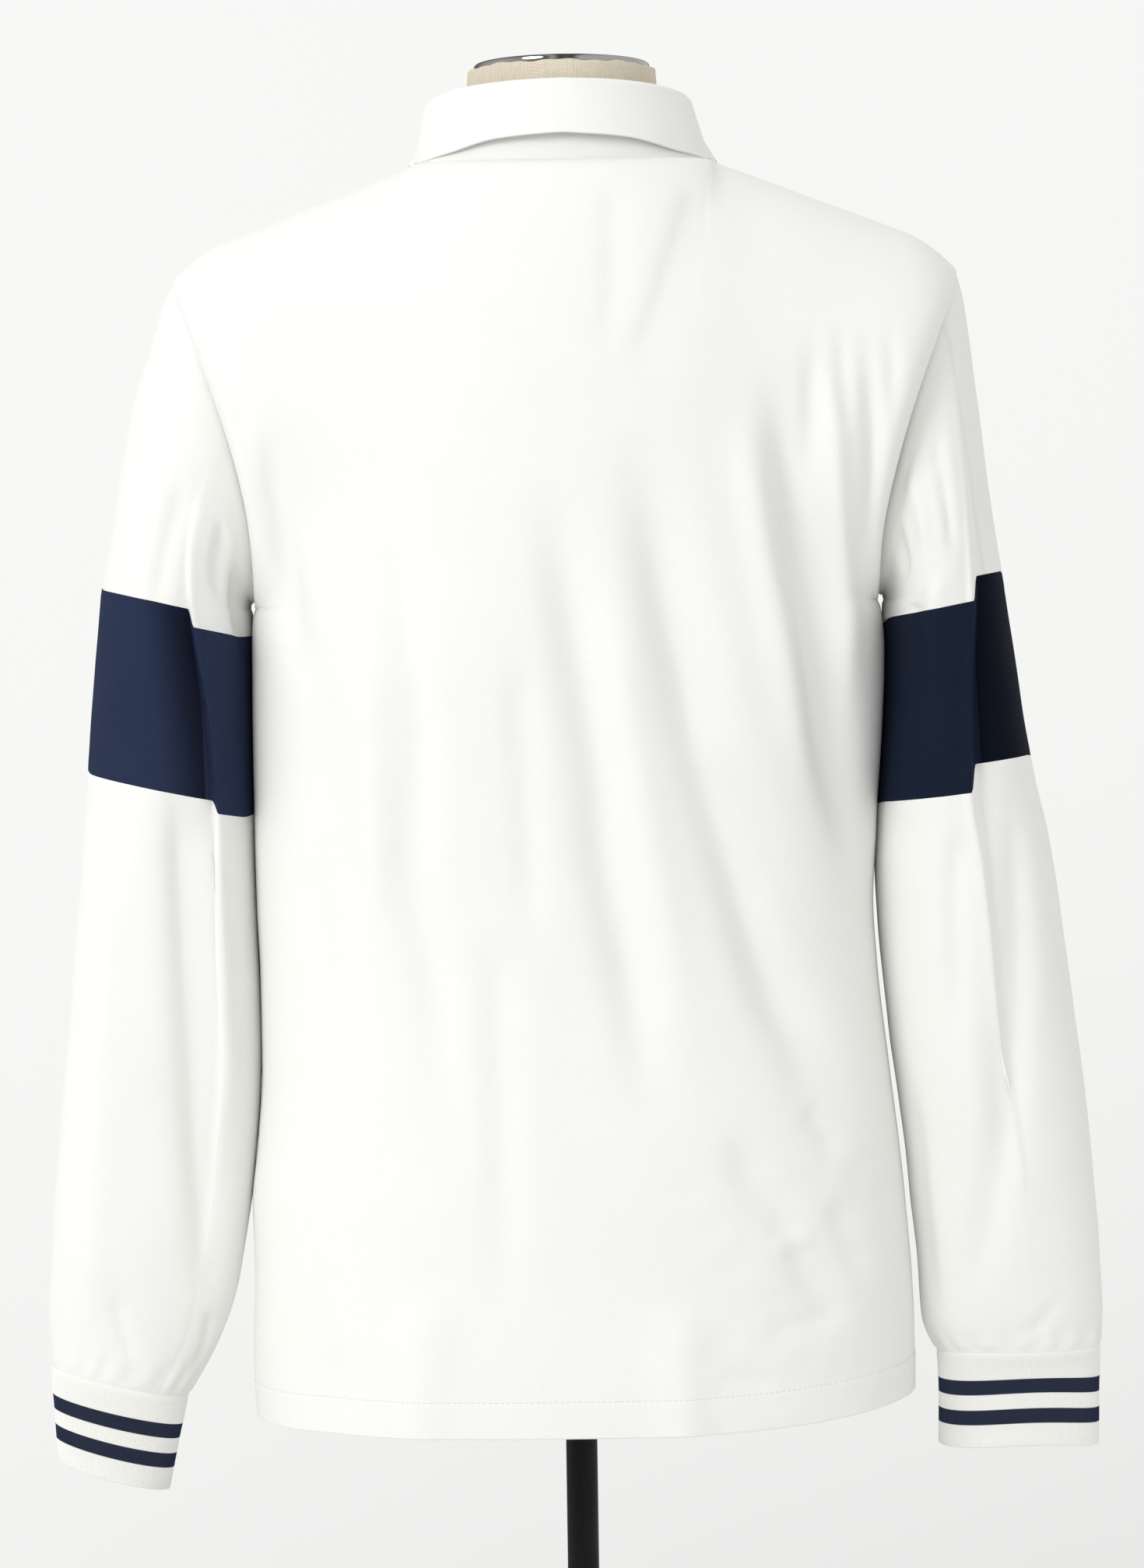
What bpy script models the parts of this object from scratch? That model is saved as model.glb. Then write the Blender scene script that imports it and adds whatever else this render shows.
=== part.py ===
"""Long-sleeve polo shirt in heavy jersey, worn by a limbless dress form on a pole.

Metres, +Z up.  The garment's front faces -Y, its back +Y, the wearer's left is +X.
Every cloth piece is a wall: an outer grid of points worked out from the section tables
below, the same grid moved in by the cloth's thickness, and rims that join the two.
"""
import math

import bpy
import numpy as np

# ---------------------------------------------------------------- named sizes
CLOTH = 0.0015            # wall of a jersey piece
RIB = 0.0020              # wall of a ribbed cuff
SEAM = 0.0003             # open joint between two sewn pieces
HEM_Z = 0.3405            # back hem above the floor
HEM_LIFT = 0.0105         # rise of the hem at the wearer's right side
UNDER_Z = 0.815           # bottom of both armholes
VENT_TOP = 0.400          # side vents run from here to the hem
VENT_GAP = 0.0022         # half opening of a vent at the hem
NECK_X = 0.088            # neck-shoulder point
NECK_Z = 1.073
NECK_BACK = (0.074, 1.0690)     # y, z of the neckline at the back centre
NECK_FRONT = (-0.083, 1.0340)   # y, z of the neckline at the front centre
SHOULDER_FALL = 0.375     # fall of the shoulder line per metre out
SHOULDER_ROUND_X = 0.198  # the line rounds over from here
SHOULDER_ROUND = 0.0110   # extra fall at the tip
TIP_X = 0.231             # shoulder tip
SHOULDER_Y = -0.004       # the shoulder seam sits a little forward
SECTION_POWER = 2.35      # roundness of the body's cross section
ARM_DEPTH = 0.0600        # half depth of an armhole, front to back
ARM_BOW = {True: 0.0085, False: 0.0065}    # how far the armhole curves in, left and right
ARM_LEAN = {True: 0.0085, False: 0.0085}   # how far its top stands out and its foot in
HALF_ROWS = 12            # steps up one armhole edge
BACK_ROWS = 18            # steps from hem to underarm, back panel
FRONT_ROWS = 9           # and front panel
NECK_STEPS = (0.0, 0.25, 0.48, 0.68, 0.85, 0.96, 1.0)
SIDE_STEPS = 10

# body outline: height, half width on the wearer's left and right, depth back and front
BODY = np.array([
    (0.335, 0.1915, 0.1975, 0.1190, 0.1130),
    (0.380, 0.1935, 0.1980, 0.1180, 0.1125),
    (0.415, 0.1920, 0.1970, 0.1150, 0.1110),
    (0.465, 0.1910, 0.1930, 0.1115, 0.1080),
    (0.500, 0.1860, 0.1895, 0.1085, 0.1055),
    (0.545, 0.1818, 0.1844, 0.1050, 0.1030),
    (0.600, 0.1825, 0.1784, 0.1025, 0.1015),
    (0.640, 0.1848, 0.1762, 0.1025, 0.1020),
    (0.690, 0.1868, 0.1772, 0.1050, 0.1075),
    (0.745, 0.1872, 0.1826, 0.1100, 0.1140),
    (0.785, 0.1868, 0.1846, 0.1138, 0.1180),
    (0.815, 0.1850, 0.1816, 0.1150, 0.1190),
])

# sleeve rings: outer edge x, z; inner edge x, z; half depth; middle's y
SLEEVE_LEFT = np.array([
    (0.2310, 1.0084, 0.1850, 0.8150, 0.0600, 0.000),
    (0.2385, 0.9920, 0.1862, 0.8182, 0.0640, 0.000),
    (0.2470, 0.9650, 0.1880, 0.8190, 0.0675, 0.000),
    (0.2560, 0.9340, 0.1886, 0.8165, 0.0700, 0.000),
    (0.2640, 0.8950, 0.1887, 0.8118, 0.0710, 0.000),
    (0.2700, 0.8580, 0.1887, 0.8060, 0.0705, 0.000),
    (0.2755, 0.8290, 0.1887, 0.7990, 0.0690, 0.000),
    (0.2800, 0.7900, 0.1887, 0.7620, 0.0660, 0.001),
    (0.2855, 0.7220, 0.1889, 0.6940, 0.0600, 0.003),
    (0.2905, 0.6700, 0.1893, 0.6450, 0.0560, 0.004),
    (0.2990, 0.5780, 0.1890, 0.5600, 0.0480, 0.006),
    (0.3070, 0.4960, 0.1930, 0.4840, 0.0400, 0.008),
    (0.3125, 0.4310, 0.2010, 0.4200, 0.0330, 0.010),
    (0.3140, 0.3950, 0.2125, 0.3850, 0.0290, 0.010),
    (0.3128, 0.3706, 0.2325, 0.3510, 0.0265, 0.010),
])
SLEEVE_RIGHT = np.array([
    (0.2310, 1.0084, 0.1816, 0.8150, 0.0600, 0.000),
    (0.2350, 0.9930, 0.1831, 0.8182, 0.0640, 0.000),
    (0.2385, 0.9650, 0.1850, 0.8190, 0.0680, 0.000),
    (0.2420, 0.9340, 0.1860, 0.8165, 0.0710, 0.000),
    (0.2465, 0.8950, 0.1864, 0.8120, 0.0725, 0.000),
    (0.2510, 0.8580, 0.1863, 0.8066, 0.0725, 0.000),
    (0.2555, 0.8280, 0.1862, 0.8010, 0.0715, 0.000),
    (0.2610, 0.7900, 0.1858, 0.7640, 0.0690, 0.001),
    (0.2710, 0.7220, 0.1835, 0.6950, 0.0635, 0.002),
    (0.2826, 0.6665, 0.1820, 0.6450, 0.0580, 0.003),
    (0.2950, 0.5700, 0.1880, 0.5580, 0.0480, 0.005),
    (0.3031, 0.4960, 0.1965, 0.4860, 0.0390, 0.007),
    (0.3077, 0.4310, 0.2000, 0.4230, 0.0310, 0.009),
    (0.3090, 0.3960, 0.2025, 0.3900, 0.0260, 0.010),
    (0.3072, 0.3725, 0.2110, 0.3715, 0.0220, 0.010),
])
# ring numbers where each sleeve piece has its rings; the navy band is rows 6 to 8
UPPER_RINGS = [0.0, 0.5, 1.1, 1.8, 2.6, 3.4, 4.3, 5.1, 6.0]
BAND_RINGS = [6.0, 6.6, 7.3, 8.0]
LOWER_RINGS = [8.0, 8.6, 9.2, 9.7, 10.2, 10.7, 11.1, 11.5, 11.9, 12.3, 12.8, 13.4, 14.0]
# the long pleat down the back of each sleeve: ring number, where it runs (1 = outer edge,
# -1 = inner edge), how far the cloth outside it rides up, how deep it is set back
PLEAT_LEFT = np.array([
    (1.5, -0.10, 0.000, 0.0000),
    (3.5, -0.16, 0.003, 0.0020),
    (6.0, -0.30, 0.010, 0.0055),
    (8.0, -0.60, 0.007, 0.0050),
    (10.0, -0.62, 0.003, 0.0030),
    (12.5, -0.60, 0.000, 0.0000),
])
PLEAT_RIGHT = np.array([
    (1.5, 0.62, 0.000, 0.0000),
    (3.5, 0.55, 0.005, 0.0030),
    (6.0, 0.40, 0.0140, 0.0075),
    (8.0, 0.12, 0.0160, 0.0075),
    (9.0, 0.16, 0.008, 0.0050),
    (11.5, 0.20, 0.000, 0.0000),
])
# cuff rings: outer edge x, z; inner edge x, z; half depth; middle's y
CUFF_LEFT = np.array([
    (0.3126, 0.3700, 0.2332, 0.3504, 0.0255, 0.010),
    (0.3115, 0.3420, 0.2385, 0.3230, 0.0250, 0.010),
    (0.3100, 0.3150, 0.2440, 0.2965, 0.0255, 0.010),
])
CUFF_RIGHT = np.array([
    (0.3066, 0.3715, 0.2122, 0.3706, 0.0195, 0.010),
    (0.3066, 0.3440, 0.2116, 0.3440, 0.0180, 0.010),
    (0.3062, 0.3160, 0.2112, 0.3166, 0.0185, 0.010),
])

# folds on a panel: x, z of the two ends and the middle, half width, depth (minus = trough)
BACK_FOLDS = (
    (-0.034, 0.915, -0.086, 0.700, -0.142, 0.500, 0.0170, -0.0060),
    (0.016, 0.905, -0.012, 0.700, -0.054, 0.500, 0.0135, -0.0042),
    (0.096, 0.880, 0.094, 0.680, 0.072, 0.455, 0.0130, -0.0022),
    (-0.116, 0.940, -0.142, 0.790, -0.164, 0.615, 0.0110, -0.0052),
    (-0.098, 0.890, -0.124, 0.780, -0.140, 0.690, 0.0120, 0.0030),
    (-0.177, 0.945, -0.173, 0.880, -0.170, 0.815, 0.0100, -0.0040),
    (0.164, 0.925, 0.159, 0.860, 0.155, 0.800, 0.0110, -0.0022),
    (0.134, 0.710, 0.134, 0.600, 0.138, 0.470, 0.0120, -0.0016),
    (0.044, 0.570, 0.042, 0.510, 0.044, 0.430, 0.0110, -0.0014),
    (-0.092, 0.500, -0.124, 0.440, -0.156, 0.368, 0.0130, -0.0030),
    (-0.142, 0.552, -0.150, 0.520, -0.158, 0.485, 0.0090, -0.0020),
    (-0.060, 0.420, -0.058, 0.380, -0.060, 0.335, 0.0160, 0.0022),
    (0.085, 0.430, 0.090, 0.380, 0.094, 0.335, 0.0170, 0.0020),
)
FRONT_FOLDS = (
    (-0.060, 0.880, -0.084, 0.760, -0.104, 0.600, 0.0150, -0.0036),
    (0.068, 0.890, 0.090, 0.740, 0.100, 0.590, 0.0150, -0.0034),
    (0.120, 0.650, 0.118, 0.540, 0.124, 0.420, 0.0140, -0.0024),
    (-0.122, 0.620, -0.126, 0.520, -0.130, 0.410, 0.0140, -0.0024),
    (-0.045, 0.450, -0.050, 0.400, -0.055, 0.335, 0.0170, 0.0020),
)
# folds on a sleeve: degrees round from the outer edge by way of the back, ring number,
# at the two ends and the middle; half width; depth
LEFT_FOLDS = (
    (142.0, 2.2, 150.0, 4.0, 156.0, 6.6, 0.0100, -0.0045),
    (92.0, 2.8, 82.0, 4.5, 80.0, 6.6, 0.0100, -0.0022),
    (100.0, 7.8, 108.0, 10.0, 138.0, 12.4, 0.0130, -0.0045),
    (50.0, 8.6, 56.0, 11.0, 64.0, 13.4, 0.0160, 0.0026),
    (250.0, 4.0, 262.0, 7.0, 268.0, 10.0, 0.0140, -0.0036),
    (285.0, 9.0, 278.0, 11.0, 262.0, 13.0, 0.0130, -0.0030),
)
RIGHT_FOLDS = (
    (96.0, 3.0, 100.0, 5.5, 104.0, 8.4, 0.0130, 0.0024),
    (60.0, 8.4, 86.0, 10.0, 120.0, 12.4, 0.0130, -0.0045),
    (120.0, 9.2, 104.0, 10.2, 96.0, 11.2, 0.0120, 0.0022),
    (246.0, 4.0, 258.0, 7.0, 264.0, 10.0, 0.0140, -0.0036),
    (290.0, 9.0, 280.0, 11.0, 266.0, 13.0, 0.0130, -0.0030),
)

# dress form: height, half width, depth back and front, power of the section
FORM = np.array([
    (0.420, 0.1560, 0.0880, 0.0840, 2.20),
    (0.425, 0.1620, 0.0930, 0.0890, 2.20),
    (0.460, 0.1640, 0.0950, 0.0905, 2.20),
    (0.520, 0.1560, 0.0880, 0.0860, 2.20),
    (0.600, 0.1420, 0.0800, 0.0810, 2.20),
    (0.680, 0.1440, 0.0830, 0.0880, 2.20),
    (0.760, 0.1560, 0.0920, 0.0980, 2.20),
    (0.820, 0.1620, 0.0980, 0.1040, 2.20),
    (0.880, 0.1700, 0.0990, 0.1010, 2.15),
    (0.930, 0.1830, 0.0960, 0.0940, 2.05),
    (0.965, 0.1960, 0.0900, 0.0860, 1.95),
    (0.990, 0.2050, 0.0830, 0.0780, 1.85),
    (1.009, 0.2075, 0.0760, 0.0715, 1.75),
    (1.021, 0.2040, 0.0715, 0.0670, 1.70),
    (1.031, 0.1920, 0.0675, 0.0630, 1.68),
    (1.040, 0.1690, 0.0640, 0.0600, 1.70),
    (1.049, 0.1455, 0.0610, 0.0585, 1.75),
    (1.058, 0.1215, 0.0585, 0.0570, 1.85),
    (1.066, 0.0975, 0.0570, 0.0560, 1.95),
    (1.074, 0.0780, 0.0562, 0.0556, 2.00),
    (1.083, 0.0650, 0.0558, 0.0555, 2.00),
    (1.098, 0.0580, 0.0556, 0.0555, 2.00),
    (1.1265, 0.0555, 0.0555, 0.0555, 2.00),
])
FORM_SIDES = 32

# collar: turns round from the back centre (0) by the shoulder (1) to the front centre (2);
# fold x/y scale and height; leaf edge scale and height
COLLAR = np.array([
    (0.00, 0.0640, 1.1164, 0.0800, 1.0845),
    (0.30, 0.0650, 1.1158, 0.0813, 1.0822),
    (0.60, 0.0680, 1.1145, 0.0843, 1.0762),
    (0.85, 0.0713, 1.1122, 0.0875, 1.0742),
    (1.00, 0.0732, 1.1105, 0.0893, 1.0765),
    (1.20, 0.0755, 1.1070, 0.0975, 1.0740),
    (1.50, 0.0770, 1.0990, 0.1075, 1.0520),
    (1.80, 0.0790, 1.0900, 0.1150, 1.0200),
    (1.97, 0.0800, 1.0850, 0.1215, 1.0010),
])
COLLAR_WALL = 0.0014
COLLAR_STATIONS = 37
COLLAR_END = 1.97
LEAF_SPREAD = 0.26        # how far the front points swing outwards, radians
LEAF_CLEAR = 0.0022       # leaf edge above the cloth it lies on, behind
LEAF_CLEAR_FRONT = 0.0062  # and in front

PLACKET_LEN = 0.155
PLACKET_WALL = 0.0014
BUTTON_R = 0.0057
BUTTON_T = 0.0026
BUTTON_DROPS = (0.024, 0.080, 0.134)

CAP_R, CAP_FOOT, CAP_TOP = 0.0518, 1.1268, 1.1327
POLE_R, POLE_FOOT, POLE_TOP = 0.0093, 0.0103, 0.4197
BASE_R, BASE_T = 0.150, 0.010
ROUND = 32

COLOURS = {
    "jersey": ((0.86, 0.85, 0.82, 1.0), 0.0, 0.85),
    "navy": ((0.016, 0.024, 0.060, 1.0), 0.0, 0.85),
    "woven": ((0.88, 0.87, 0.84, 1.0), 0.0, 0.75),
    "linen": ((0.62, 0.57, 0.48, 1.0), 0.0, 0.90),
    "chrome": ((0.75, 0.76, 0.78, 1.0), 1.0, 0.12),
    "black": ((0.012, 0.012, 0.013, 1.0), 0.6, 0.35),
    "button": ((0.80, 0.79, 0.76, 1.0), 0.0, 0.30),
}


# ---------------------------------------------------------------- small maths
def ease(table, col, at):
    """Read one column of a table at a key with a monotone cubic curve."""
    x = table[:, 0]
    y = table[:, col]
    at = np.clip(np.asarray(at, float), x[0], x[-1])
    h = np.diff(x)
    d = np.diff(y) / h
    m = np.zeros(len(x))
    m[0], m[-1] = d[0], d[-1]
    same = d[:-1] * d[1:] > 0
    mid = np.where(same, 2.0 * d[:-1] * d[1:] / np.where(same, d[:-1] + d[1:], 1.0), 0.0)
    m[1:-1] = mid
    i = np.clip(np.searchsorted(x, at, side="right") - 1, 0, len(h) - 1)
    t = (at - x[i]) / h[i]
    a = (1.0 + 2.0 * t) * (1.0 - t) ** 2
    b = t * (1.0 - t) ** 2
    c = t * t * (3.0 - 2.0 * t)
    e = t * t * (t - 1.0)
    return a * y[i] + b * h[i] * m[i] + c * y[i + 1] + e * h[i] * m[i + 1]


def step(lo, hi, at):
    """Smooth 0 to 1 between two values."""
    t = np.clip((np.asarray(at, float) - lo) / (hi - lo), 0.0, 1.0)
    return t * t * (3.0 - 2.0 * t)


def unit(v):
    """Unit vectors along the last axis."""
    n = np.linalg.norm(v, axis=-1, keepdims=True)
    return v / np.where(n < 1e-12, 1.0, n)


def numbered(rows):
    """A sleeve table with its ring numbers as the key column."""
    return np.column_stack([np.arange(len(rows), dtype=float), rows])


def grid_normals(p, wrap, outward):
    """Normals of a grid [rows, columns, 3]; wrap closes the columns into a tube."""
    du = np.empty_like(p)
    dv = np.empty_like(p)
    dv[1:-1] = p[2:] - p[:-2]
    dv[0] = p[1] - p[0]
    dv[-1] = p[-1] - p[-2]
    if wrap:
        du = np.roll(p, -1, axis=1) - np.roll(p, 1, axis=1)
    else:
        du[:, 1:-1] = p[:, 2:] - p[:, :-2]
        du[:, 0] = p[:, 1] - p[:, 0]
        du[:, -1] = p[:, -1] - p[:, -2]
    n = unit(np.cross(du, dv))
    return n * outward


def fold_depth(folds, x, z):
    """Sum of soft troughs and ridges laid along three-point paths."""
    out = np.zeros(np.broadcast(x, z).shape)
    for x0, z0, x1, z1, x2, z2, half, depth in folds:
        t = np.clip((z - z0) / (z2 - z0), -0.25, 1.25)
        tm = (z1 - z0) / (z2 - z0)
        bend = x1 - (x0 + (x2 - x0) * tm)
        line = x0 + (x2 - x0) * t + bend * t * (1.0 - t) / (tm * (1.0 - tm))
        lean = math.cos(math.atan2(abs(x2 - x0), abs(z2 - z0)))
        off = (x - line) * lean / half
        raw = (z - z0) / (z2 - z0)
        fade = step(-0.12, 0.22, raw) * (1.0 - step(0.72, 1.12, raw))
        out = out + depth * fade * np.exp(-off * off)
    return out


# ---------------------------------------------------------------- building solids
def material(key):
    """One Principled material per object."""
    colour, metal, rough = COLOURS[key]
    mat = bpy.data.materials.new("m_" + key)
    mat.use_nodes = True
    node = mat.node_tree.nodes["Principled BSDF"]
    node.inputs["Base Color"].default_value = colour
    node.inputs["Metallic"].default_value = metal
    node.inputs["Roughness"].default_value = rough
    mat.diffuse_color = colour
    return mat


def add_solid(name, verts, faces, key):
    """Make one named object from points and faces."""
    mesh = bpy.data.meshes.new(name)
    mesh.from_pydata([tuple(float(c) for c in v) for v in verts], [], faces)
    mesh.validate()
    mesh.update()
    obj = bpy.data.objects.new(name, mesh)
    bpy.context.scene.collection.objects.link(obj)
    mesh.materials.append(material(key))
    return obj


def strip(ids, wrap):
    """Quads of a grid of vertex numbers."""
    faces = []
    rows, cols = ids.shape
    last = cols if wrap else cols - 1
    for r in range(rows - 1):
        for c in range(last):
            d = (c + 1) % cols
            faces.append((ids[r, c], ids[r, d], ids[r + 1, d], ids[r + 1, c]))
    return faces


def wall(name, outer, inner, wrap, flip, key):
    """Close two grids of the same size into one wall."""
    rows, cols = outer.shape[:2]
    verts = np.concatenate([outer.reshape(-1, 3), inner.reshape(-1, 3)])
    a = np.arange(rows * cols).reshape(rows, cols)
    b = a + rows * cols
    faces = strip(a, wrap)
    faces += [f[::-1] for f in strip(b, wrap)]
    low = np.array([b[0], a[0]])
    top = np.array([a[-1], b[-1]])
    faces += strip(low, wrap)
    faces += strip(top, wrap)
    if not wrap:
        left = np.column_stack([b[:, 0], a[:, 0]])
        right = np.column_stack([a[:, -1], b[:, -1]])
        faces += strip(left, False)
        faces += strip(right, False)
    faces = [tuple(int(i) for i in f) for f in faces]
    if flip:
        faces = [f[::-1] for f in faces]
    return add_solid(name, verts, faces, key)


def rings_solid(name, rings, key):
    """A closed body from a stack of rings going up, with flat ends."""
    count, sides = rings.shape[:2]
    verts = list(rings.reshape(-1, 3))
    ids = np.arange(count * sides).reshape(count, sides)
    faces = [tuple(int(i) for i in f) for f in strip(ids, True)]
    foot = len(verts)
    verts.append(rings[0].mean(axis=0))
    verts.append(rings[-1].mean(axis=0))
    for c in range(sides):
        d = (c + 1) % sides
        faces.append((int(ids[0, d]), int(ids[0, c]), foot))
        faces.append((int(ids[-1, c]), int(ids[-1, d]), foot + 1))
    return add_solid(name, verts, faces, key)


def turned(name, profile, key, centre=(0.0, 0.0)):
    """A body turned about a vertical axis from (radius, height) pairs going up."""
    a = np.arange(ROUND) * 2.0 * math.pi / ROUND
    rings = np.array([
        np.column_stack([centre[0] + r * np.cos(a), centre[1] + r * np.sin(a),
                         np.full(ROUND, z)])
        for r, z in profile
    ])
    return rings_solid(name, rings, key)


# ---------------------------------------------------------------- the body's panels
def column_fractions():
    """Columns across a panel: even on the neckline, closer towards the side."""
    neck = NECK_X / TIP_X
    half = [neck * s for s in NECK_STEPS]
    for j in range(1, SIDE_STEPS + 1):
        half.append(neck + (1.0 - neck) * math.sin(0.5 * math.pi * j / SIDE_STEPS))
    half = np.array(half)
    return np.concatenate([-half[:0:-1], half])


def half_width(z, g):
    """Body half width at a height, by side."""
    return np.where(g >= 0.0, ease(BODY, 1, z), ease(BODY, 2, z))


def hem_height(g):
    """The hem's height across the panel: level, rising at the wearer's right side."""
    return HEM_Z + HEM_LIFT * np.clip(-g, 0.0, 1.0) ** 3


def shoulder_top(x, front):
    """y and z of the panel's top edge: shoulder seam, then neckline."""
    ax = np.abs(x)
    over = np.clip((ax - SHOULDER_ROUND_X) / (TIP_X - SHOULDER_ROUND_X), 0.0, 1.2)
    z_sh = NECK_Z - SHOULDER_FALL * (ax - NECK_X) - SHOULDER_ROUND * over ** 2
    y_sh = np.full_like(ax, SHOULDER_Y)
    low_y, low_z = NECK_FRONT if front else NECK_BACK
    q = np.clip(ax / NECK_X, 0.0, 1.0)
    run = np.sqrt(1.0 - q * q)
    z_neck = NECK_Z - (NECK_Z - low_z) * run ** (3.5 if front else 2.0)
    y_neck = SHOULDER_Y + (low_y - SHOULDER_Y) * run
    inside = ax < NECK_X
    return np.where(inside, y_neck, y_sh), np.where(inside, z_neck, z_sh)


def armhole(theta, left, front):
    """A point of the armhole: 0 = shoulder tip, pi = underarm, by the back or the front."""
    row = (SLEEVE_LEFT if left else SLEEVE_RIGHT)[0]
    ox, oz, ix, iz = row[:4]
    c, s = np.cos(theta), np.sin(theta)
    bow = ARM_BOW[left] - ARM_LEAN[left] * c
    x = 0.5 * (ox + ix) + 0.5 * (ox - ix) * c - bow * s * s
    z = 0.5 * (oz + iz) + 0.5 * (oz - iz) * c
    y = ARM_DEPTH * s * (-1.0 if front else 1.0) + SHOULDER_Y * step(-1.0, 1.0, c)
    return x, y, z


def panel_grid(front, folds):
    """Outer points and normals of the back or the front panel, hem row first."""
    g = column_fractions()
    body_rows = FRONT_ROWS if front else BACK_ROWS
    side = -1.0 if front else 1.0
    depth_col = 4 if front else 3
    n = SECTION_POWER
    rows = []
    bulge = (1.0 - np.abs(g) ** n) ** (1.0 / n)
    for r in range(body_rows):
        z = hem_height(g) + (UNDER_Z - hem_height(g)) * r / body_rows
        x = g * half_width(z, g)
        y = side * (ease(BODY, depth_col, z) * bulge)
        y = y + side * (0.5 * SEAM + VENT_GAP * (1.0 - step(HEM_Z, VENT_TOP, z)))
        rows.append(np.column_stack([x, y, z]))
    depth_u = float(ease(BODY, depth_col, UNDER_Z))
    for r in range(HALF_ROWS + 1):
        theta = math.pi * (1.0 - r / HALF_ROWS)
        xl, yl, zl = armhole(theta, True, front)
        xr, yr, zr = armhole(theta, False, front)
        edge_x = np.where(g >= 0.0, xl, xr)
        f = (zl - UNDER_Z) / (armhole(0.0, True, front)[2] - UNDER_Z)
        x = g * edge_x
        y_top, z_top = shoulder_top(x if r < HALF_ROWS else g * TIP_X, front)
        z = UNDER_Z + (z_top - UNDER_Z) * f
        arc = max(1.0 - f ** 3, 0.0) ** (1.0 / 3.0)
        y = y_top + (side * depth_u * bulge - y_top) * arc
        base_edge = SHOULDER_Y * (1.0 - arc)
        spread = np.abs(g) ** (5.0 + 16.0 * (1.0 - f) ** 5)
        y = y + (yl - base_edge) * spread + side * 0.5 * SEAM
        rows.append(np.column_stack([x, y, z]))
    p = np.array(rows)
    p[-1, :, 1] = y_top + side * 0.5 * SEAM
    nrm = grid_normals(p, False, -side)
    calm = 1.0 - step(0.90, 1.0, np.abs(g))[None, :] * 0.75
    top_calm = 1.0 - step(0.985, 1.03, p[:, :, 2])
    d = fold_depth(folds, p[:, :, 0], p[:, :, 2]) * calm * top_calm
    p = p + nrm * d[:, :, None]
    nrm = grid_normals(p, False, -side)
    for c in (0, -1):
        flat = nrm[:body_rows, c].copy()
        flat[:, 1] = 0.0
        nrm[:body_rows, c] = unit(flat)
    keep = np.abs(g) * TIP_X >= NECK_X - 1e-6
    flat = nrm[-1].copy()
    flat[:, 1] = 0.0
    nrm[-1, keep] = unit(flat)[keep]
    return p, nrm


def build_panels():
    """Back and front panels; returns their grids for the sleeves and the placket."""
    back, back_n = panel_grid(False, BACK_FOLDS)
    wall("back_panel", back, back - CLOTH * back_n, False, True, "jersey")
    front, front_n = panel_grid(True, FRONT_FOLDS)
    wall("front_panel", front, front - CLOTH * front_n, False, False, "jersey")
    return back, back_n, front, front_n


# ---------------------------------------------------------------- sleeves
def armhole_ring(col, back, back_n, front, front_n):
    """Points and normals round one armhole, from the tip by the back and up the front."""
    b, bn = back[-HALF_ROWS - 1:, col], back_n[-HALF_ROWS - 1:, col]
    f, fn = front[-HALF_ROWS - 1:, col], front_n[-HALF_ROWS - 1:, col]
    pts = np.concatenate([
        [0.5 * (b[-1] + f[-1])], b[-2:0:-1], [0.5 * (b[0] + f[0])], f[1:-1]])
    nrm = np.concatenate([
        [bn[-1] + fn[-1]], bn[-2:0:-1], [bn[0] + fn[0]], fn[1:-1]])
    return pts, unit(nrm)


def ring_points(rows, s, theta, side, pleat=None):
    """Points of an oval sleeve ring at a ring number."""
    t = numbered(rows)
    ox, oz, ix, iz, half, mid = (ease(t, k, s) for k in range(1, 7))
    c, d = np.cos(theta), np.sin(theta)
    x = 0.5 * (ox + ix) + 0.5 * (ox - ix) * c
    z = 0.5 * (oz + iz) + 0.5 * (oz - iz) * c
    y = mid + half * d
    if pleat is not None:
        at, ride, deep = (ease(pleat, k, s) for k in (1, 2, 3))
        on_back = step(0.05, 0.45, d)
        past = step(-0.13, 0.13, c - at)
        z = z + on_back * ride * (past - 0.5 - 0.5 * (c - at))
        y = y - on_back * deep * past * np.exp(-np.clip(c - at, 0.0, 2.0) / 0.35)
    return np.column_stack([side * x, y, z])


def sleeve_grid(rows, folds, side, ring_s, ring0):
    """Outer points of a whole sleeve at the given ring numbers."""
    count = 2 * HALF_ROWS
    pleat = PLEAT_LEFT if side > 0.0 else PLEAT_RIGHT
    theta = np.arange(count) * 2.0 * math.pi / count
    first = ring_points(rows, 0.0, theta, side)
    shift = ring0 - first
    grid = []
    for s in ring_s:
        ring = ring_points(rows, s, theta, side, pleat)
        hold = 1.0 - step(0.0, 4.0, s)
        grid.append(ring + shift * hold)
    p = np.array(grid)
    nrm = grid_normals(p, True, -side)
    deg = np.degrees(theta)[None, :]
    s_col = np.asarray(ring_s, float)[:, None]
    out = np.zeros(p.shape[:2])
    for a0, s0, a1, s1, a2, s2, half, depth in folds:
        raw = (s_col - s0) / (s2 - s0)
        t = np.clip(raw, -0.2, 1.2)
        tm = (s1 - s0) / (s2 - s0)
        bend = a1 - (a0 + (a2 - a0) * tm)
        line = a0 + (a2 - a0) * t + bend * t * (1.0 - t) / (tm * (1.0 - tm))
        off = np.radians(deg - line) * 0.062 / half
        fade = step(-0.10, 0.25, raw) * (1.0 - step(0.75, 1.10, raw))
        out = out + depth * fade * np.exp(-off * off)
    return p + nrm * out[:, :, None]


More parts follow.
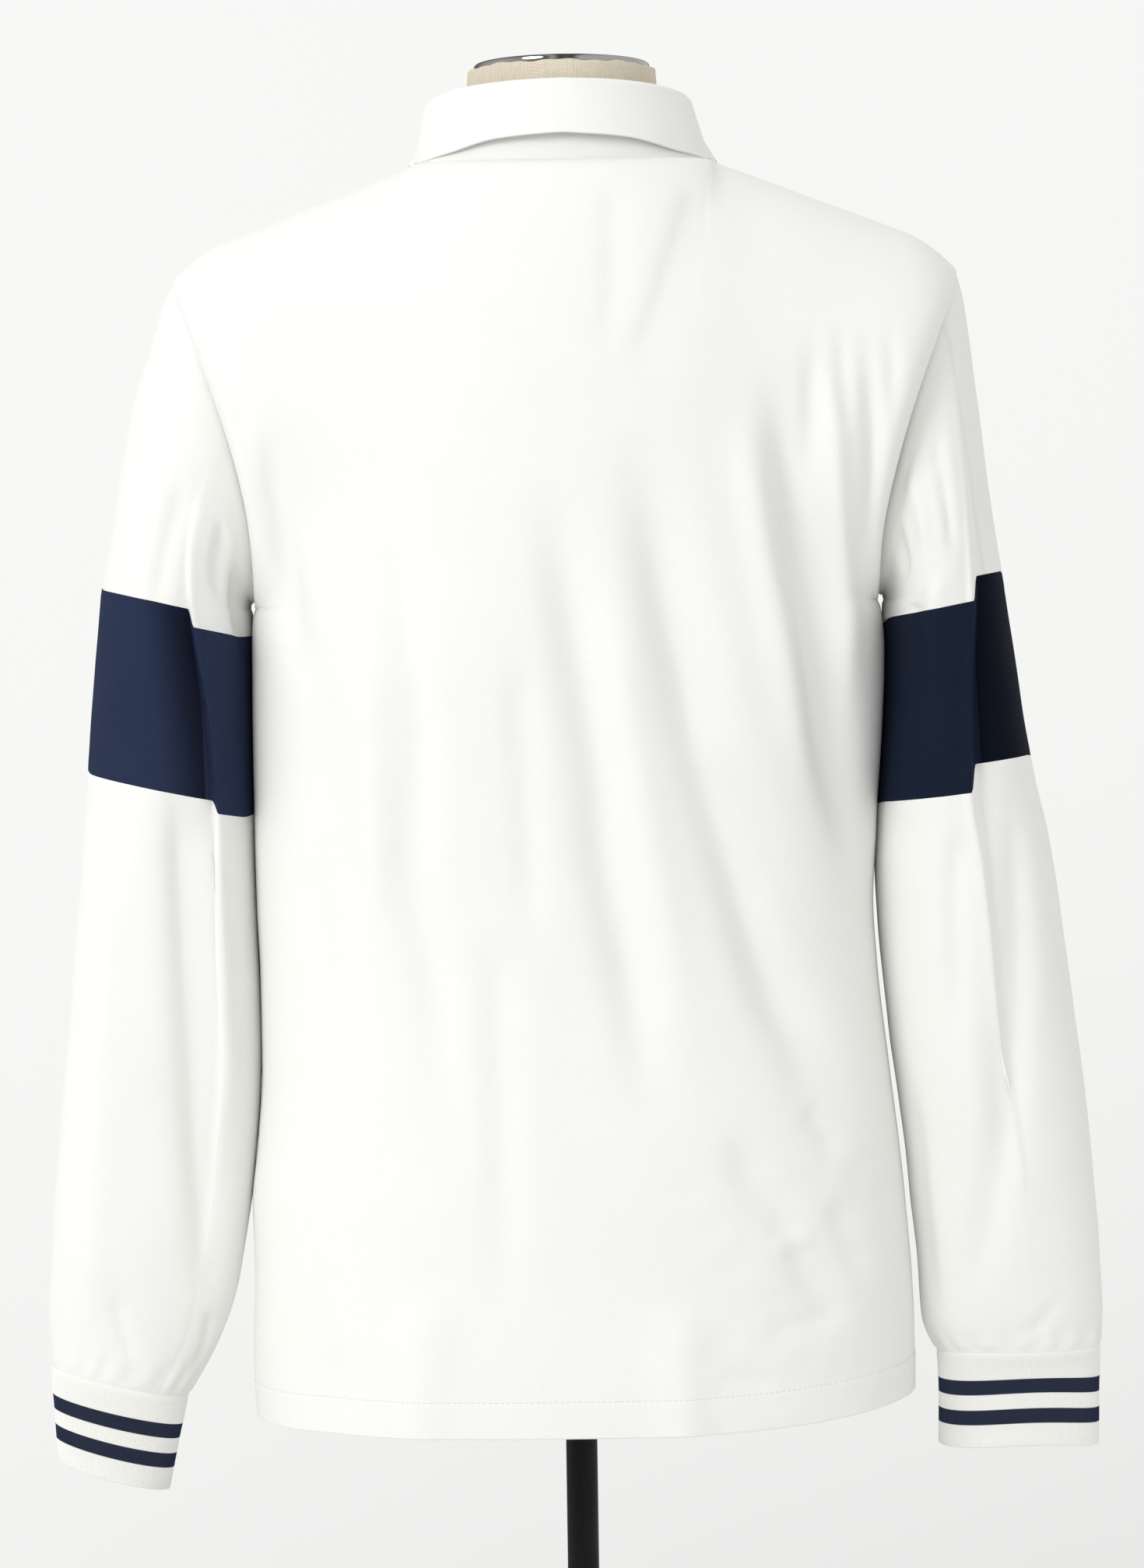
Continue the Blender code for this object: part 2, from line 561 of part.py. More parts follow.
def tube_piece(name, grid, normals, first, last, side, key):
    """The wall between two rings of a sleeve, cut back by half a seam at each end."""
    p = grid[first:last + 1].copy()
    n = normals[first:last + 1]
    if first > 0:
        p[0] = p[0] + along_tube(grid, normals, first) * 0.5 * SEAM
    if last < len(grid) - 1:
        p[-1] = p[-1] - along_tube(grid, normals, last) * 0.5 * SEAM
    wall(name, p, p - CLOTH * n, True, side > 0.0, key)
    return p


def along_tube(grid, normals, r):
    """Unit steps down the tube at a ring, square to its normals."""
    d = grid[min(r + 1, len(grid) - 1)] - grid[max(r - 1, 0)]
    d = d - normals[r] * np.sum(d * normals[r], axis=1, keepdims=True)
    return unit(d)


def build_sleeve(side, panels):
    """Upper sleeve, navy band, lower sleeve and cuff of one side."""
    word = "left" if side > 0.0 else "right"
    rows = SLEEVE_LEFT if side > 0.0 else SLEEVE_RIGHT
    cuffs = CUFF_LEFT if side > 0.0 else CUFF_RIGHT
    folds = LEFT_FOLDS if side > 0.0 else RIGHT_FOLDS
    back, back_n, front, front_n = panels
    col = -1 if side > 0.0 else 0
    theta = np.arange(2 * HALF_ROWS) * math.pi / HALF_ROWS
    ring0, ring0_n = armhole_ring(col, back, back_n, front, front_n)
    along = unit(np.roll(ring0, -1, axis=0) - np.roll(ring0, 1, axis=0))
    out = unit(np.cross(along, ring0_n))
    if np.sum(out * (ring_points(rows, 3.0, theta, side) - ring0)) < 0.0:
        out = -out
    ring_s = UPPER_RINGS + BAND_RINGS[1:] + LOWER_RINGS[1:]
    grid = sleeve_grid(rows, folds, side, ring_s, ring0 + out * SEAM)
    normals = grid_normals(grid, True, -side)
    normals[0] = ring0_n
    one = len(UPPER_RINGS) - 1
    two = one + len(BAND_RINGS) - 1
    end = len(grid) - 1
    tube_piece(word + "_sleeve_upper", grid, normals, 0, one, side, "jersey")
    tube_piece(word + "_sleeve_band", grid, normals, one, two, side, "navy")
    tube_piece(word + "_sleeve_lower", grid, normals, two, end, side, "jersey")

    cuff = [grid[-1] + along_tube(grid, normals, end) * SEAM]
    cuff += [ring_points(cuffs, s, theta, side) for s in (0.15, 0.7, 1.4, 2.0)]
    cuff = np.array(cuff)
    cuff_n = grid_normals(cuff, True, -side)
    cuff_n[0] = normals[-1]
    wall(word + "_cuff", cuff, cuff - RIB * cuff_n, True, side > 0.0, "jersey")


# ---------------------------------------------------------------- collar and placket
def neck_path(panels):
    """The neckline as one run of points: front centre, wearer's right shoulder, back
    centre, left shoulder, front centre."""
    keep = np.abs(column_fractions()) * TIP_X <= NECK_X + 1e-6
    b = panels[0][-1][keep]
    f = panels[2][-1][keep]
    half = len(b) // 2
    right_front = f[:half + 1][::-1]
    left_front = f[half:][::-1]
    b[0] = 0.5 * (b[0] + right_front[-1])
    b[-1] = 0.5 * (b[-1] + left_front[0])
    return np.concatenate([right_front[:-1], b, left_front[1:]])


def finer(grid, times):
    """A grid with points added evenly along its rows and columns."""
    for axis in (0, 1):
        g = np.moveaxis(grid, axis, 0)
        at = np.linspace(0.0, len(g) - 1.0, (len(g) - 1) * times + 1)
        low = np.minimum(at.astype(int), len(g) - 2)
        t = (at - low)[:, None, None]
        grid = np.moveaxis(g[low] * (1.0 - t) + g[low + 1] * t, 0, axis)
    return grid


def cloth_under(cloth, x, y):
    """Height of the panels' outer face under a point: a plane through nearby points."""
    d = np.hypot(cloth[:, 0] - x, cloth[:, 1] - y)
    near = cloth[np.argsort(d)[:8]]
    rows = np.column_stack([near[:, 0] - x, near[:, 1] - y, np.ones(len(near))])
    fit = np.linalg.lstsq(rows, near[:, 2], rcond=None)[0]
    return float(min(fit[2], near[:, 2].max()))


def clear_of_cloth(cloth, at, z):
    """A leaf point's height, raised where the panels would touch it."""
    clear = LEAF_CLEAR if at[1] > -0.02 else LEAF_CLEAR_FRONT
    return max(z, cloth_under(cloth, at[0], at[1]) + clear)


def build_collar(panels):
    """A turned-down collar: stand, fold and leaf as one bent strip."""
    path = neck_path(panels)
    cloth = [finer(panels[k][-9:], 4).reshape(-1, 3) for k in (0, 2)]
    cloth = np.concatenate(cloth)
    turn = np.linspace(-2.0, 2.0, len(path))
    fine = np.linspace(-COLLAR_END, COLLAR_END, COLLAR_STATIONS)
    foot = np.column_stack([np.interp(fine, turn, path[:, k]) for k in range(3)])
    away = np.column_stack([np.sin(fine * math.pi / 2.0), np.cos(fine * math.pi / 2.0)])
    plan = unit(unit(foot[:, :2]) + away)
    edge = grid_run(foot)
    up = np.column_stack([-0.50 * plan, np.full(len(fine), 0.85)])
    up = unit(up - edge * np.sum(up * edge, axis=1, keepdims=True))
    foot_n = unit(np.cross(up, edge))
    at = np.abs(fine)
    fold_r, fold_z, leaf_r, leaf_z = (ease(COLLAR, k, at) for k in (1, 2, 3, 4))
    base = foot - foot_n * 0.5 * CLOTH + up * SEAM
    second = base + up * 0.0016
    grid = np.empty((len(fine), 11, 3))
    for k in range(len(fine)):
        lean = LEAF_SPREAD * float(step(1.0, COLLAR_END, at[k]))
        r0 = float(np.dot(second[k, :2], plan[k]))
        z0 = second[k, 2]
        rf, zf, rl, zl = fold_r[k], fold_z[k], leaf_r[k], leaf_z[k]
        zl = clear_of_cloth(cloth, turned_by(plan[k], lean * np.sign(fine[k])) * rl, zl)
        line = (
            (0.55 * r0 + 0.45 * (rf - 0.0030), 0.55 * z0 + 0.45 * zf),
            (rf - 0.0032, zf - 0.0060),
            (rf - 0.0018, zf - 0.0014),
            (rf + 0.0006, zf),
            (rf + 0.0028, zf - 0.0018),
            (rf + 0.0040, zf - 0.0060),
            (0.60 * (rf + 0.0045) + 0.40 * rl, 0.55 * (zf - 0.0060) + 0.45 * zl),
            (0.28 * (rf + 0.0045) + 0.72 * rl, 0.25 * (zf - 0.0060) + 0.75 * zl),
            (rl, zl),
        )
        grid[k, 0] = base[k]
        grid[k, 1] = second[k]
        for j, (r, z) in enumerate(line, 2):
            drop = max(0.0, (zf - z) / (zf - zl)) if j > 6 else 0.0
            way = turned_by(plan[k], lean * drop * np.sign(fine[k]))
            if j > 6:
                z = clear_of_cloth(cloth, way * r, z)
            grid[k, j] = (way[0] * r, way[1] * r, z)
    nrm = grid_normals(grid, False, 1.0)
    a = grid + 0.5 * COLLAR_WALL * nrm
    b = grid - 0.5 * COLLAR_WALL * nrm
    wall("collar", a, b, False, False, "woven")


def turned_by(way, angle):
    """A plan direction turned about the vertical."""
    c, s = math.cos(angle), math.sin(angle)
    return np.array([c * way[0] - s * way[1], s * way[0] + c * way[1]])


def grid_run(p):
    """Unit steps along a run of points."""
    d = np.empty_like(p)
    d[1:-1] = p[2:] - p[:-2]
    d[0] = p[1] - p[0]
    d[-1] = p[-1] - p[-2]
    return unit(d)


def build_placket(panels):
    """The placket's upper strip, the front panel's own points moved out, and buttons."""
    front, front_n = panels[2], panels[3]
    mid = front.shape[1] // 2
    lane = front[:, mid, 2]
    low = int(np.argmin(np.abs(lane - (lane[-1] - PLACKET_LEN))))
    p = front[low:, mid - 1:mid + 2]
    n = front_n[low:, mid - 1:mid + 2]
    wall("placket", p + n * (SEAM + PLACKET_WALL), p + n * SEAM, False, False, "woven")
    for number, drop in enumerate(BUTTON_DROPS, 1):
        z = lane[-1] - drop
        r = int(np.searchsorted(lane, z)) - 1
        t = (z - lane[r]) / (lane[r + 1] - lane[r])
        point = front[r, mid] * (1.0 - t) + front[r + 1, mid] * t
        axis = unit(front_n[r, mid] * (1.0 - t) + front_n[r + 1, mid] * t)
        build_button("button_%d" % number, point + axis * (2.2 * SEAM + PLACKET_WALL), axis)


def build_button(name, seat, axis):
    """A low round button with a soft rim, its flat side on the seat."""
    axis = unit(axis)
    across = unit(np.cross(axis, np.array([0.0, 0.0, 1.0])))
    up = np.cross(across, axis)
    rim = 16
    a = np.arange(rim) * 2.0 * math.pi / rim
    profile = ((0.86, 0.0), (1.0, 0.25), (1.0, 0.75), (0.88, 1.0), (0.70, 0.92),
               (0.66, 0.74))
    rings = []
    for r, h in profile:
        disc = np.outer(np.cos(a), across) + np.outer(np.sin(a), up)
        rings.append(seat + BUTTON_R * r * disc + axis * (BUTTON_T * h))
    rings_solid(name, np.array(rings)[:, ::-1] if handed(across, up, axis) < 0.0
                else np.array(rings), "button")


def handed(a, b, c):
    """Sign of the frame made by three directions."""
    return float(np.dot(np.cross(a, b), c))


# ---------------------------------------------------------------- dress form and stand
def build_form():
    """Torso with its neck, a polished neck cap, a pole and a round base."""
    a = np.arange(FORM_SIDES) * 2.0 * math.pi / FORM_SIDES
    rings = []
    for z, w, back, front, power in FORM:
        c, s = np.cos(a), np.sin(a)
        e = 2.0 / power
        x = w * np.sign(c) * np.abs(c) ** e
        y = np.where(s >= 0.0, back, front) * np.sign(s) * np.abs(s) ** e
        rings.append(np.column_stack([x, y, np.full(FORM_SIDES, z)]))
    rings_solid("form_torso", np.array(rings), "linen")
    turned("neck_cap", ((CAP_R - 0.0015, CAP_FOOT), (CAP_R, CAP_FOOT + 0.0015),
                        (CAP_R, CAP_TOP - 0.0018), (CAP_R - 0.0018, CAP_TOP),
                        (CAP_R * 0.55, CAP_TOP + 0.0010)), "chrome")
    turned("pole", ((POLE_R, POLE_FOOT), (POLE_R, POLE_TOP)), "black")
    turned("base", ((BASE_R, 0.0), (BASE_R, BASE_T - 0.002), (BASE_R - 0.002, BASE_T)),
           "black")


def main():
    """Build every node of the shirt and its form."""
    for obj in list(bpy.data.objects):
        bpy.data.objects.remove(obj, do_unlink=True)
    panels = build_panels()
    build_sleeve(1.0, panels)
    build_sleeve(-1.0, panels)
    build_collar(panels)
    build_placket(panels)
    build_form()


main()
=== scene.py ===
"""A long-sleeve polo shirt on a dress form, dressed for the camera and seen from behind.

Metres, +Z up.  The garment's front faces -Y, its back +Y, the wearer's left is +X.  Every
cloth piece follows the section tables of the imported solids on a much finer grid, and adds
the creases, seams, stitches, ribs and knit of the real shirt.
"""
import logging
import math
from dataclasses import dataclass, field
from enum import Enum

import bpy
import numpy as np
from mathutils import Matrix, Vector, noise
from mathutils.bvhtree import BVHTree


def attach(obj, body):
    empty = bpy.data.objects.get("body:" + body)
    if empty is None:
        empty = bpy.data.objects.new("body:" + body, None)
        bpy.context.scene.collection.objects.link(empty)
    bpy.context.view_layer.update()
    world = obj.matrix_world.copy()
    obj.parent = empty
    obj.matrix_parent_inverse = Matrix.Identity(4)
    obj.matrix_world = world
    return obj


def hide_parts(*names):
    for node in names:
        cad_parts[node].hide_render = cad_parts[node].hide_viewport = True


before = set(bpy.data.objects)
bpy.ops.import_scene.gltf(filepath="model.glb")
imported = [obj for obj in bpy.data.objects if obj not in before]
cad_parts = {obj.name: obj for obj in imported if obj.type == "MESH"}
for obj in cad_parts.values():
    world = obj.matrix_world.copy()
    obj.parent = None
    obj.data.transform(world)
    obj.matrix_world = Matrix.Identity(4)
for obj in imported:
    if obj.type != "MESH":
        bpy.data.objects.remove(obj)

LOG = logging.getLogger("shirt")
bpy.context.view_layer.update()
Grid = np.ndarray
Colour = tuple[float, float, float]

SEAM = 0.0003             # open joint between two sewn pieces
CLOTH = 0.0012            # jersey
UNDER_Z = 0.815           # bottom of both armholes
TIP_X = 0.231             # shoulder tip
SHOULDER_Y = -0.004       # the shoulder seam sits a little forward
NECK_X = 0.088            # neck-shoulder point
WALE = 0.00092            # one column of knit stitches
BAND_RING = 6.0           # sleeve rings where the band starts and ends, and the last
LOWER_RING = 8.0
CUFF_RING = 14.0


class Side(Enum):
    """The wearer's side that a sleeve is on; the value is the sign of x."""

    LEFT = 1.0
    RIGHT = -1.0

    @property
    def word(self) -> str:
        """The side's name in node and piece names."""
        return self.name.lower()


class Face(Enum):
    """Which panel of the body; the value is the sign of y."""

    BACK = 1.0
    FRONT = -1.0


# ---------------------------------------------------------------- section tables
def tenths(rows: tuple) -> Grid:
    """A table in metres from rows in tenths of a millimetre."""
    return np.array(rows) / 10000.0


# body outline: height, half width on the wearer's left and right, depth back and front
BODY = tenths((
    (3350, 1915, 1975, 1190, 1130), (3800, 1935, 1980, 1180, 1125),
    (4150, 1920, 1970, 1150, 1110), (4650, 1910, 1930, 1115, 1080),
    (5000, 1860, 1895, 1085, 1055), (5450, 1818, 1844, 1050, 1030),
    (6000, 1825, 1784, 1025, 1015), (6400, 1848, 1762, 1025, 1020),
    (6900, 1868, 1772, 1050, 1075), (7450, 1872, 1826, 1100, 1140),
    (7850, 1868, 1846, 1138, 1180), (8150, 1850, 1816, 1150, 1190),
))
# sleeve rings: outer edge x, z; inner edge x, z; half depth; middle's y
SLEEVES = {
    Side.LEFT: tenths((
        (2310, 10084, 1850, 8150, 600, 0), (2385, 9920, 1862, 8182, 640, 0),
        (2470, 9650, 1880, 8190, 675, 0), (2560, 9340, 1886, 8165, 700, 0),
        (2640, 8950, 1887, 8118, 710, 0), (2700, 8580, 1887, 8060, 705, 0),
        (2755, 8290, 1887, 7990, 690, 0), (2800, 7900, 1887, 7620, 660, 10),
        (2855, 7220, 1889, 6940, 600, 30), (2905, 6700, 1893, 6450, 560, 40),
        (2990, 5780, 1890, 5600, 480, 60), (3070, 4960, 1930, 4840, 400, 80),
        (3125, 4310, 2010, 4200, 330, 100), (3140, 3950, 2125, 3850, 290, 100),
        (3128, 3706, 2325, 3510, 265, 100),
    )),
    Side.RIGHT: tenths((
        (2310, 10084, 1816, 8150, 600, 0), (2350, 9930, 1831, 8182, 640, 0),
        (2385, 9650, 1850, 8190, 680, 0), (2420, 9340, 1860, 8165, 710, 0),
        (2465, 8950, 1864, 8120, 725, 0), (2510, 8580, 1863, 8066, 725, 0),
        (2555, 8280, 1862, 8010, 715, 0), (2610, 7900, 1858, 7640, 690, 10),
        (2710, 7220, 1835, 6950, 635, 20), (2826, 6665, 1820, 6450, 580, 30),
        (2950, 5700, 1880, 5580, 480, 50), (3031, 4960, 1965, 4860, 390, 70),
        (3077, 4310, 2000, 4230, 310, 90), (3090, 3960, 2025, 3900, 260, 100),
        (3072, 3725, 2110, 3715, 220, 100),
    )),
}
# cuff rings: outer edge x, z; inner edge x, z; half depth; middle's y
CUFFS = {
    Side.LEFT: tenths((
        (3126, 3700, 2332, 3504, 255, 100), (3115, 3420, 2385, 3230, 250, 100),
        (3100, 3150, 2440, 2965, 255, 100),
    )),
    Side.RIGHT: tenths((
        (3066, 3715, 2122, 3706, 195, 100), (3066, 3440, 2116, 3440, 180, 100),
        (3062, 3160, 2112, 3166, 185, 100),
    )),
}
# the long pleat down the back of a sleeve: ring number, where it runs (1 = outer edge,
# -1 = inner edge), how far the cloth outside it rides up, how deep it is set back
PLEATS = {
    Side.LEFT: np.array([
        (1.5, -0.10, 0.000, 0.0000), (3.5, -0.16, 0.003, 0.0020),
        (6.0, -0.30, 0.010, 0.0055), (8.0, -0.60, 0.007, 0.0050),
        (10.0, -0.62, 0.003, 0.0030), (12.5, -0.60, 0.000, 0.0000),
    ]),
    Side.RIGHT: np.array([
        (1.5, 0.62, 0.000, 0.0000), (3.5, 0.55, 0.005, 0.0030),
        (6.0, 0.40, 0.0140, 0.0075), (8.0, 0.12, 0.0160, 0.0075),
        (9.0, 0.16, 0.008, 0.0050), (11.5, 0.20, 0.000, 0.0000),
    ]),
}
# collar: turns round from the back centre (0) by the shoulder (1) to the front centre (2);
# fold x/y scale and height; leaf edge scale and height
COLLAR = np.array([
    (0.00, 0.0640, 1.1164, 0.0800, 1.0845), (0.30, 0.0650, 1.1158, 0.0813, 1.0822),
    (0.60, 0.0680, 1.1145, 0.0843, 1.0762), (0.85, 0.0713, 1.1122, 0.0875, 1.0742),
    (1.00, 0.0732, 1.1105, 0.0893, 1.0765), (1.20, 0.0755, 1.1070, 0.0975, 1.0740),
    (1.50, 0.0770, 1.0990, 0.1075, 1.0520), (1.80, 0.0790, 1.0900, 0.1150, 1.0200),
    (1.97, 0.0800, 1.0850, 0.1215, 1.0010),
])
# dress form: height, half width, depth back and front, power of the section
FORM = np.array([
    (0.420, 0.1560, 0.0880, 0.0840, 2.20), (0.425, 0.1620, 0.0930, 0.0890, 2.20),
    (0.460, 0.1640, 0.0950, 0.0905, 2.20), (0.520, 0.1560, 0.0880, 0.0860, 2.20),
    (0.600, 0.1420, 0.0800, 0.0810, 2.20), (0.680, 0.1440, 0.0830, 0.0880, 2.20),
    (0.760, 0.1560, 0.0920, 0.0980, 2.20), (0.820, 0.1620, 0.0980, 0.1040, 2.20),
    (0.880, 0.1700, 0.0990, 0.1010, 2.15), (0.930, 0.1830, 0.0960, 0.0940, 2.05),
    (0.965, 0.1960, 0.0900, 0.0860, 1.95), (0.990, 0.2050, 0.0830, 0.0780, 1.85),
    (1.009, 0.2075, 0.0760, 0.0715, 1.75), (1.021, 0.2040, 0.0715, 0.0670, 1.70),
    (1.031, 0.1920, 0.0675, 0.0630, 1.68), (1.040, 0.1690, 0.0640, 0.0600, 1.70),
    (1.049, 0.1455, 0.0610, 0.0585, 1.75), (1.058, 0.1215, 0.0585, 0.0570, 1.85),
    (1.066, 0.0975, 0.0570, 0.0560, 1.95), (1.074, 0.0780, 0.0562, 0.0556, 2.00),
    (1.083, 0.0650, 0.0558, 0.0555, 2.00), (1.098, 0.0580, 0.0556, 0.0555, 2.00),
    (1.1265, 0.0555, 0.0555, 0.0555, 2.00),
])


# ---------------------------------------------------------------- small maths
def ease(table: Grid, column: int, at: Grid | float) -> Grid:
    """Read one column of a table at a key with a monotone cubic curve.

    Args:
        table: rows whose first column is the rising key.
        column: the column to read.
        at: keys to read it at.

    Returns:
        The values, one for each key.
    """
    x, y = table[:, 0], table[:, column]
    at = np.clip(np.asarray(at, float), x[0], x[-1])
    gap = np.diff(x)
    rise = np.diff(y) / gap
    slope = np.concatenate([rise[:1], np.zeros(len(x) - 2), rise[-1:]])
    same = rise[:-1] * rise[1:] > 0
    total = np.where(same, rise[:-1] + rise[1:], 1.0)
    slope[1:-1] = np.where(same, 2.0 * rise[:-1] * rise[1:] / total, 0.0)
    i = np.clip(np.searchsorted(x, at, side="right") - 1, 0, len(gap) - 1)
    t = (at - x[i]) / gap[i]
    low = (1.0 + 2.0 * t) * (1.0 - t) ** 2 * y[i] + t * (1.0 - t) ** 2 * gap[i] * slope[i]
    high = t * t * (3.0 - 2.0 * t) * y[i + 1] + t * t * (t - 1.0) * gap[i] * slope[i + 1]
    return low + high


def step(low: float, high: float, at: Grid | float) -> Grid:
    """Smooth 0 to 1 between two values."""
    t = np.clip((np.asarray(at, float) - low) / (high - low), 0.0, 1.0)
    return t * t * (3.0 - 2.0 * t)


def bell(distance: Grid, half: float) -> Grid:
    """A soft bump that is 1 at no distance and gone past about twice its half width."""
    return np.exp(-(distance / half) ** 2)


def dip(off: Grid, half: float = 0.0014) -> Grid:
    """The narrow dip along a seam, 1 on the seam itself."""
    return bell(off, half)


def swell(off: Grid, at: float = 0.0055, half: float = 0.0028) -> Grid:
    """The soft rise beside a seam, 1 at its top."""
    return bell(off - at, half)


def unit(vectors: Grid) -> Grid:
    """Unit vectors along the last axis."""
    size = np.linalg.norm(vectors, axis=-1, keepdims=True)
    return vectors / np.where(size < 1e-12, 1.0, size)


def turns(count: int) -> Grid:
    """Angles of points spread evenly over one full turn."""
    return np.arange(count) * 2.0 * math.pi / count


def joined(grid: Grid) -> Grid:
    """A grid with its first column again at its end."""
    return np.concatenate([grid, grid[:, :1]], axis=1)


def read_at(at: Grid | float, run: Grid, values: Grid) -> Grid:
    """Every coordinate of some values at one or more places along their run."""
    columns = [np.interp(at, run, values[:, k]) for k in range(values.shape[1])]
    return np.stack(columns, axis=-1)


def grid_normals(points: Grid, wrap: bool, outward: float) -> Grid:
    """Normals of a grid of points.

    Args:
        points: the grid, [rows, columns, 3].
        wrap: whether the columns close into a tube.
        outward: 1 or -1, which turns the normals outwards.

    Returns:
        One unit normal for each point.
    """
    along = np.gradient(points, axis=0)
    if wrap:
        across = np.roll(points, -1, axis=1) - np.roll(points, 1, axis=1)
    else:
        across = np.gradient(points, axis=1)
    return unit(np.cross(across, along)) * outward


def lengths(points: Grid, axis: int) -> Grid:
    """Length run along an axis of a grid of points, from 0 at its start."""
    gaps = np.linalg.norm(np.diff(points, axis=axis), axis=-1)
    start = np.zeros_like(np.take(gaps, [0], axis=axis))
    return np.cumsum(np.concatenate([start, gaps], axis=axis), axis=axis)


def smooth_run(points: Grid, count: int) -> Grid:
    """A smooth curve through points, sampled evenly in the points' own numbering.

    Args:
        points: the points, [n, ...], passed through in order.
        count: how many samples to return.

    Returns:
        The samples, [count, ...].
    """
    padded = np.concatenate([2.0 * points[:1] - points[1:2], points,
                             2.0 * points[-1:] - points[-2:-1]])
    at = np.linspace(0.0, len(points) - 1.0, count)
    i = np.minimum(at.astype(int), len(points) - 2)
    t = (at - i).reshape((-1,) + (1,) * (points.ndim - 1))
    a, b, c, d = (padded[i + k] for k in range(4))
    return 0.5 * (2.0 * b + (c - a) * t + (2.0 * a - 5.0 * b + 4.0 * c - d) * t ** 2
                  + (3.0 * b - a - 3.0 * c + d) * t ** 3)


def blurred(values: Grid, at: Grid, reach: float) -> Grid:
    """Values evened out along each row of a grid.

    Args:
        values: the grid.
        at: rising places along each row.
        reach: how far to each side the values are mixed.

    Returns:
        The even values.
    """
    offsets = np.linspace(-1.0, 1.0, 9)
    weights = 1.0 - offsets ** 2 + 0.05
    rows = [sum(w * np.interp(a + o * reach, a, v) for o, w in zip(offsets, weights))
            for v, a in zip(values, at)]
    return np.array(rows) / weights.sum()


def crumple(points: Grid, scale: float, seed: float) -> Grid:
    """Even noise of about -1 to 1 over a grid of points, with lumps of a given size."""
    flat = points.reshape(-1, 3) / scale + seed
    values = [noise.noise(Vector(p)) for p in flat]
    return np.array(values).reshape(points.shape[:-1])


# ---------------------------------------------------------------- creases
@dataclass(frozen=True)
class Crease:
    """A soft trough or ridge along a smooth path over a piece of cloth.

    The path holds (across, along) pairs: x and z on a panel, degrees round and ring
    number on a sleeve.  A crease may be steeper on one side than on the other.
    """

    path: tuple[tuple[float, float], ...]
    depth: float
    half: float
    other_half: float
    fade_in: float = 0.25
    fade_out: float = 0.35

    def relief(self, across: Grid, along: Grid, scale: tuple[float, float]) -> Grid:
        """How far the crease moves each point of a grid.

        Args:
            across: the points' first coordinate, in the path's own measure.
            along: their second coordinate.
            scale: metres for one unit of each coordinate.

        Returns:
            Heights in metres, minus inwards.
        """
        path = smooth_run(np.array(self.path), 6 * len(self.path)) * np.array(scale)
        legs = np.diff(path, axis=0)
        sizes = np.linalg.norm(legs, axis=1)
        starts = np.concatenate([[0.0], np.cumsum(sizes)])
        px, py = across * scale[0], along * scale[1]
        nearest = np.full(np.broadcast(px, py).shape, np.inf)
        side, place = np.zeros_like(nearest), np.zeros_like(nearest)
        for k, leg in enumerate(legs):
            rx, ry = px - path[k, 0], py - path[k, 1]
            t = np.clip((rx * leg[0] + ry * leg[1]) / sizes[k] ** 2, 0.0, 1.0)
            square = (rx - t * leg[0]) ** 2 + (ry - t * leg[1]) ** 2
            closer = square < nearest
            nearest = np.where(closer, square, nearest)
            side = np.where(closer, leg[0] * ry - leg[1] * rx, side)
            place = np.where(closer, (starts[k] + t * sizes[k]) / starts[-1], place)
        half = np.where(side > 0.0, self.half, self.other_half)
        fade = step(0.0, self.fade_in, place) * (1.0 - step(1.0 - self.fade_out, 1.0, place))
        return self.depth * fade * np.exp(-nearest / half ** 2)


def creased(creases: tuple[Crease, ...], across: Grid, along: Grid,
            scale: tuple[float, float]) -> Grid:
    """Sum of the relief of several creases."""
    total = np.zeros(np.broadcast(across, along).shape)
    for crease in creases:
        total = total + crease.relief(across, along, scale)
    return total


def crease_set(per: float, rows: tuple) -> tuple[Crease, ...]:
    """Creases from rows of numbers.

    Args:
        per: how many of the path's numbers make one of a crease's own.
        rows: for each crease the numbers of its path, its depth and two half widths in
            tenths of a millimetre, and how it fades.

    Returns:
        The creases.
    """
    return tuple(Crease(tuple(zip(*[iter(n / per for n in path)] * 2)),
                        *(n / 10000.0 for n in shape), *fades)
                 for path, *shape, fades in ((*row[:4], row[4:]) for row in rows))


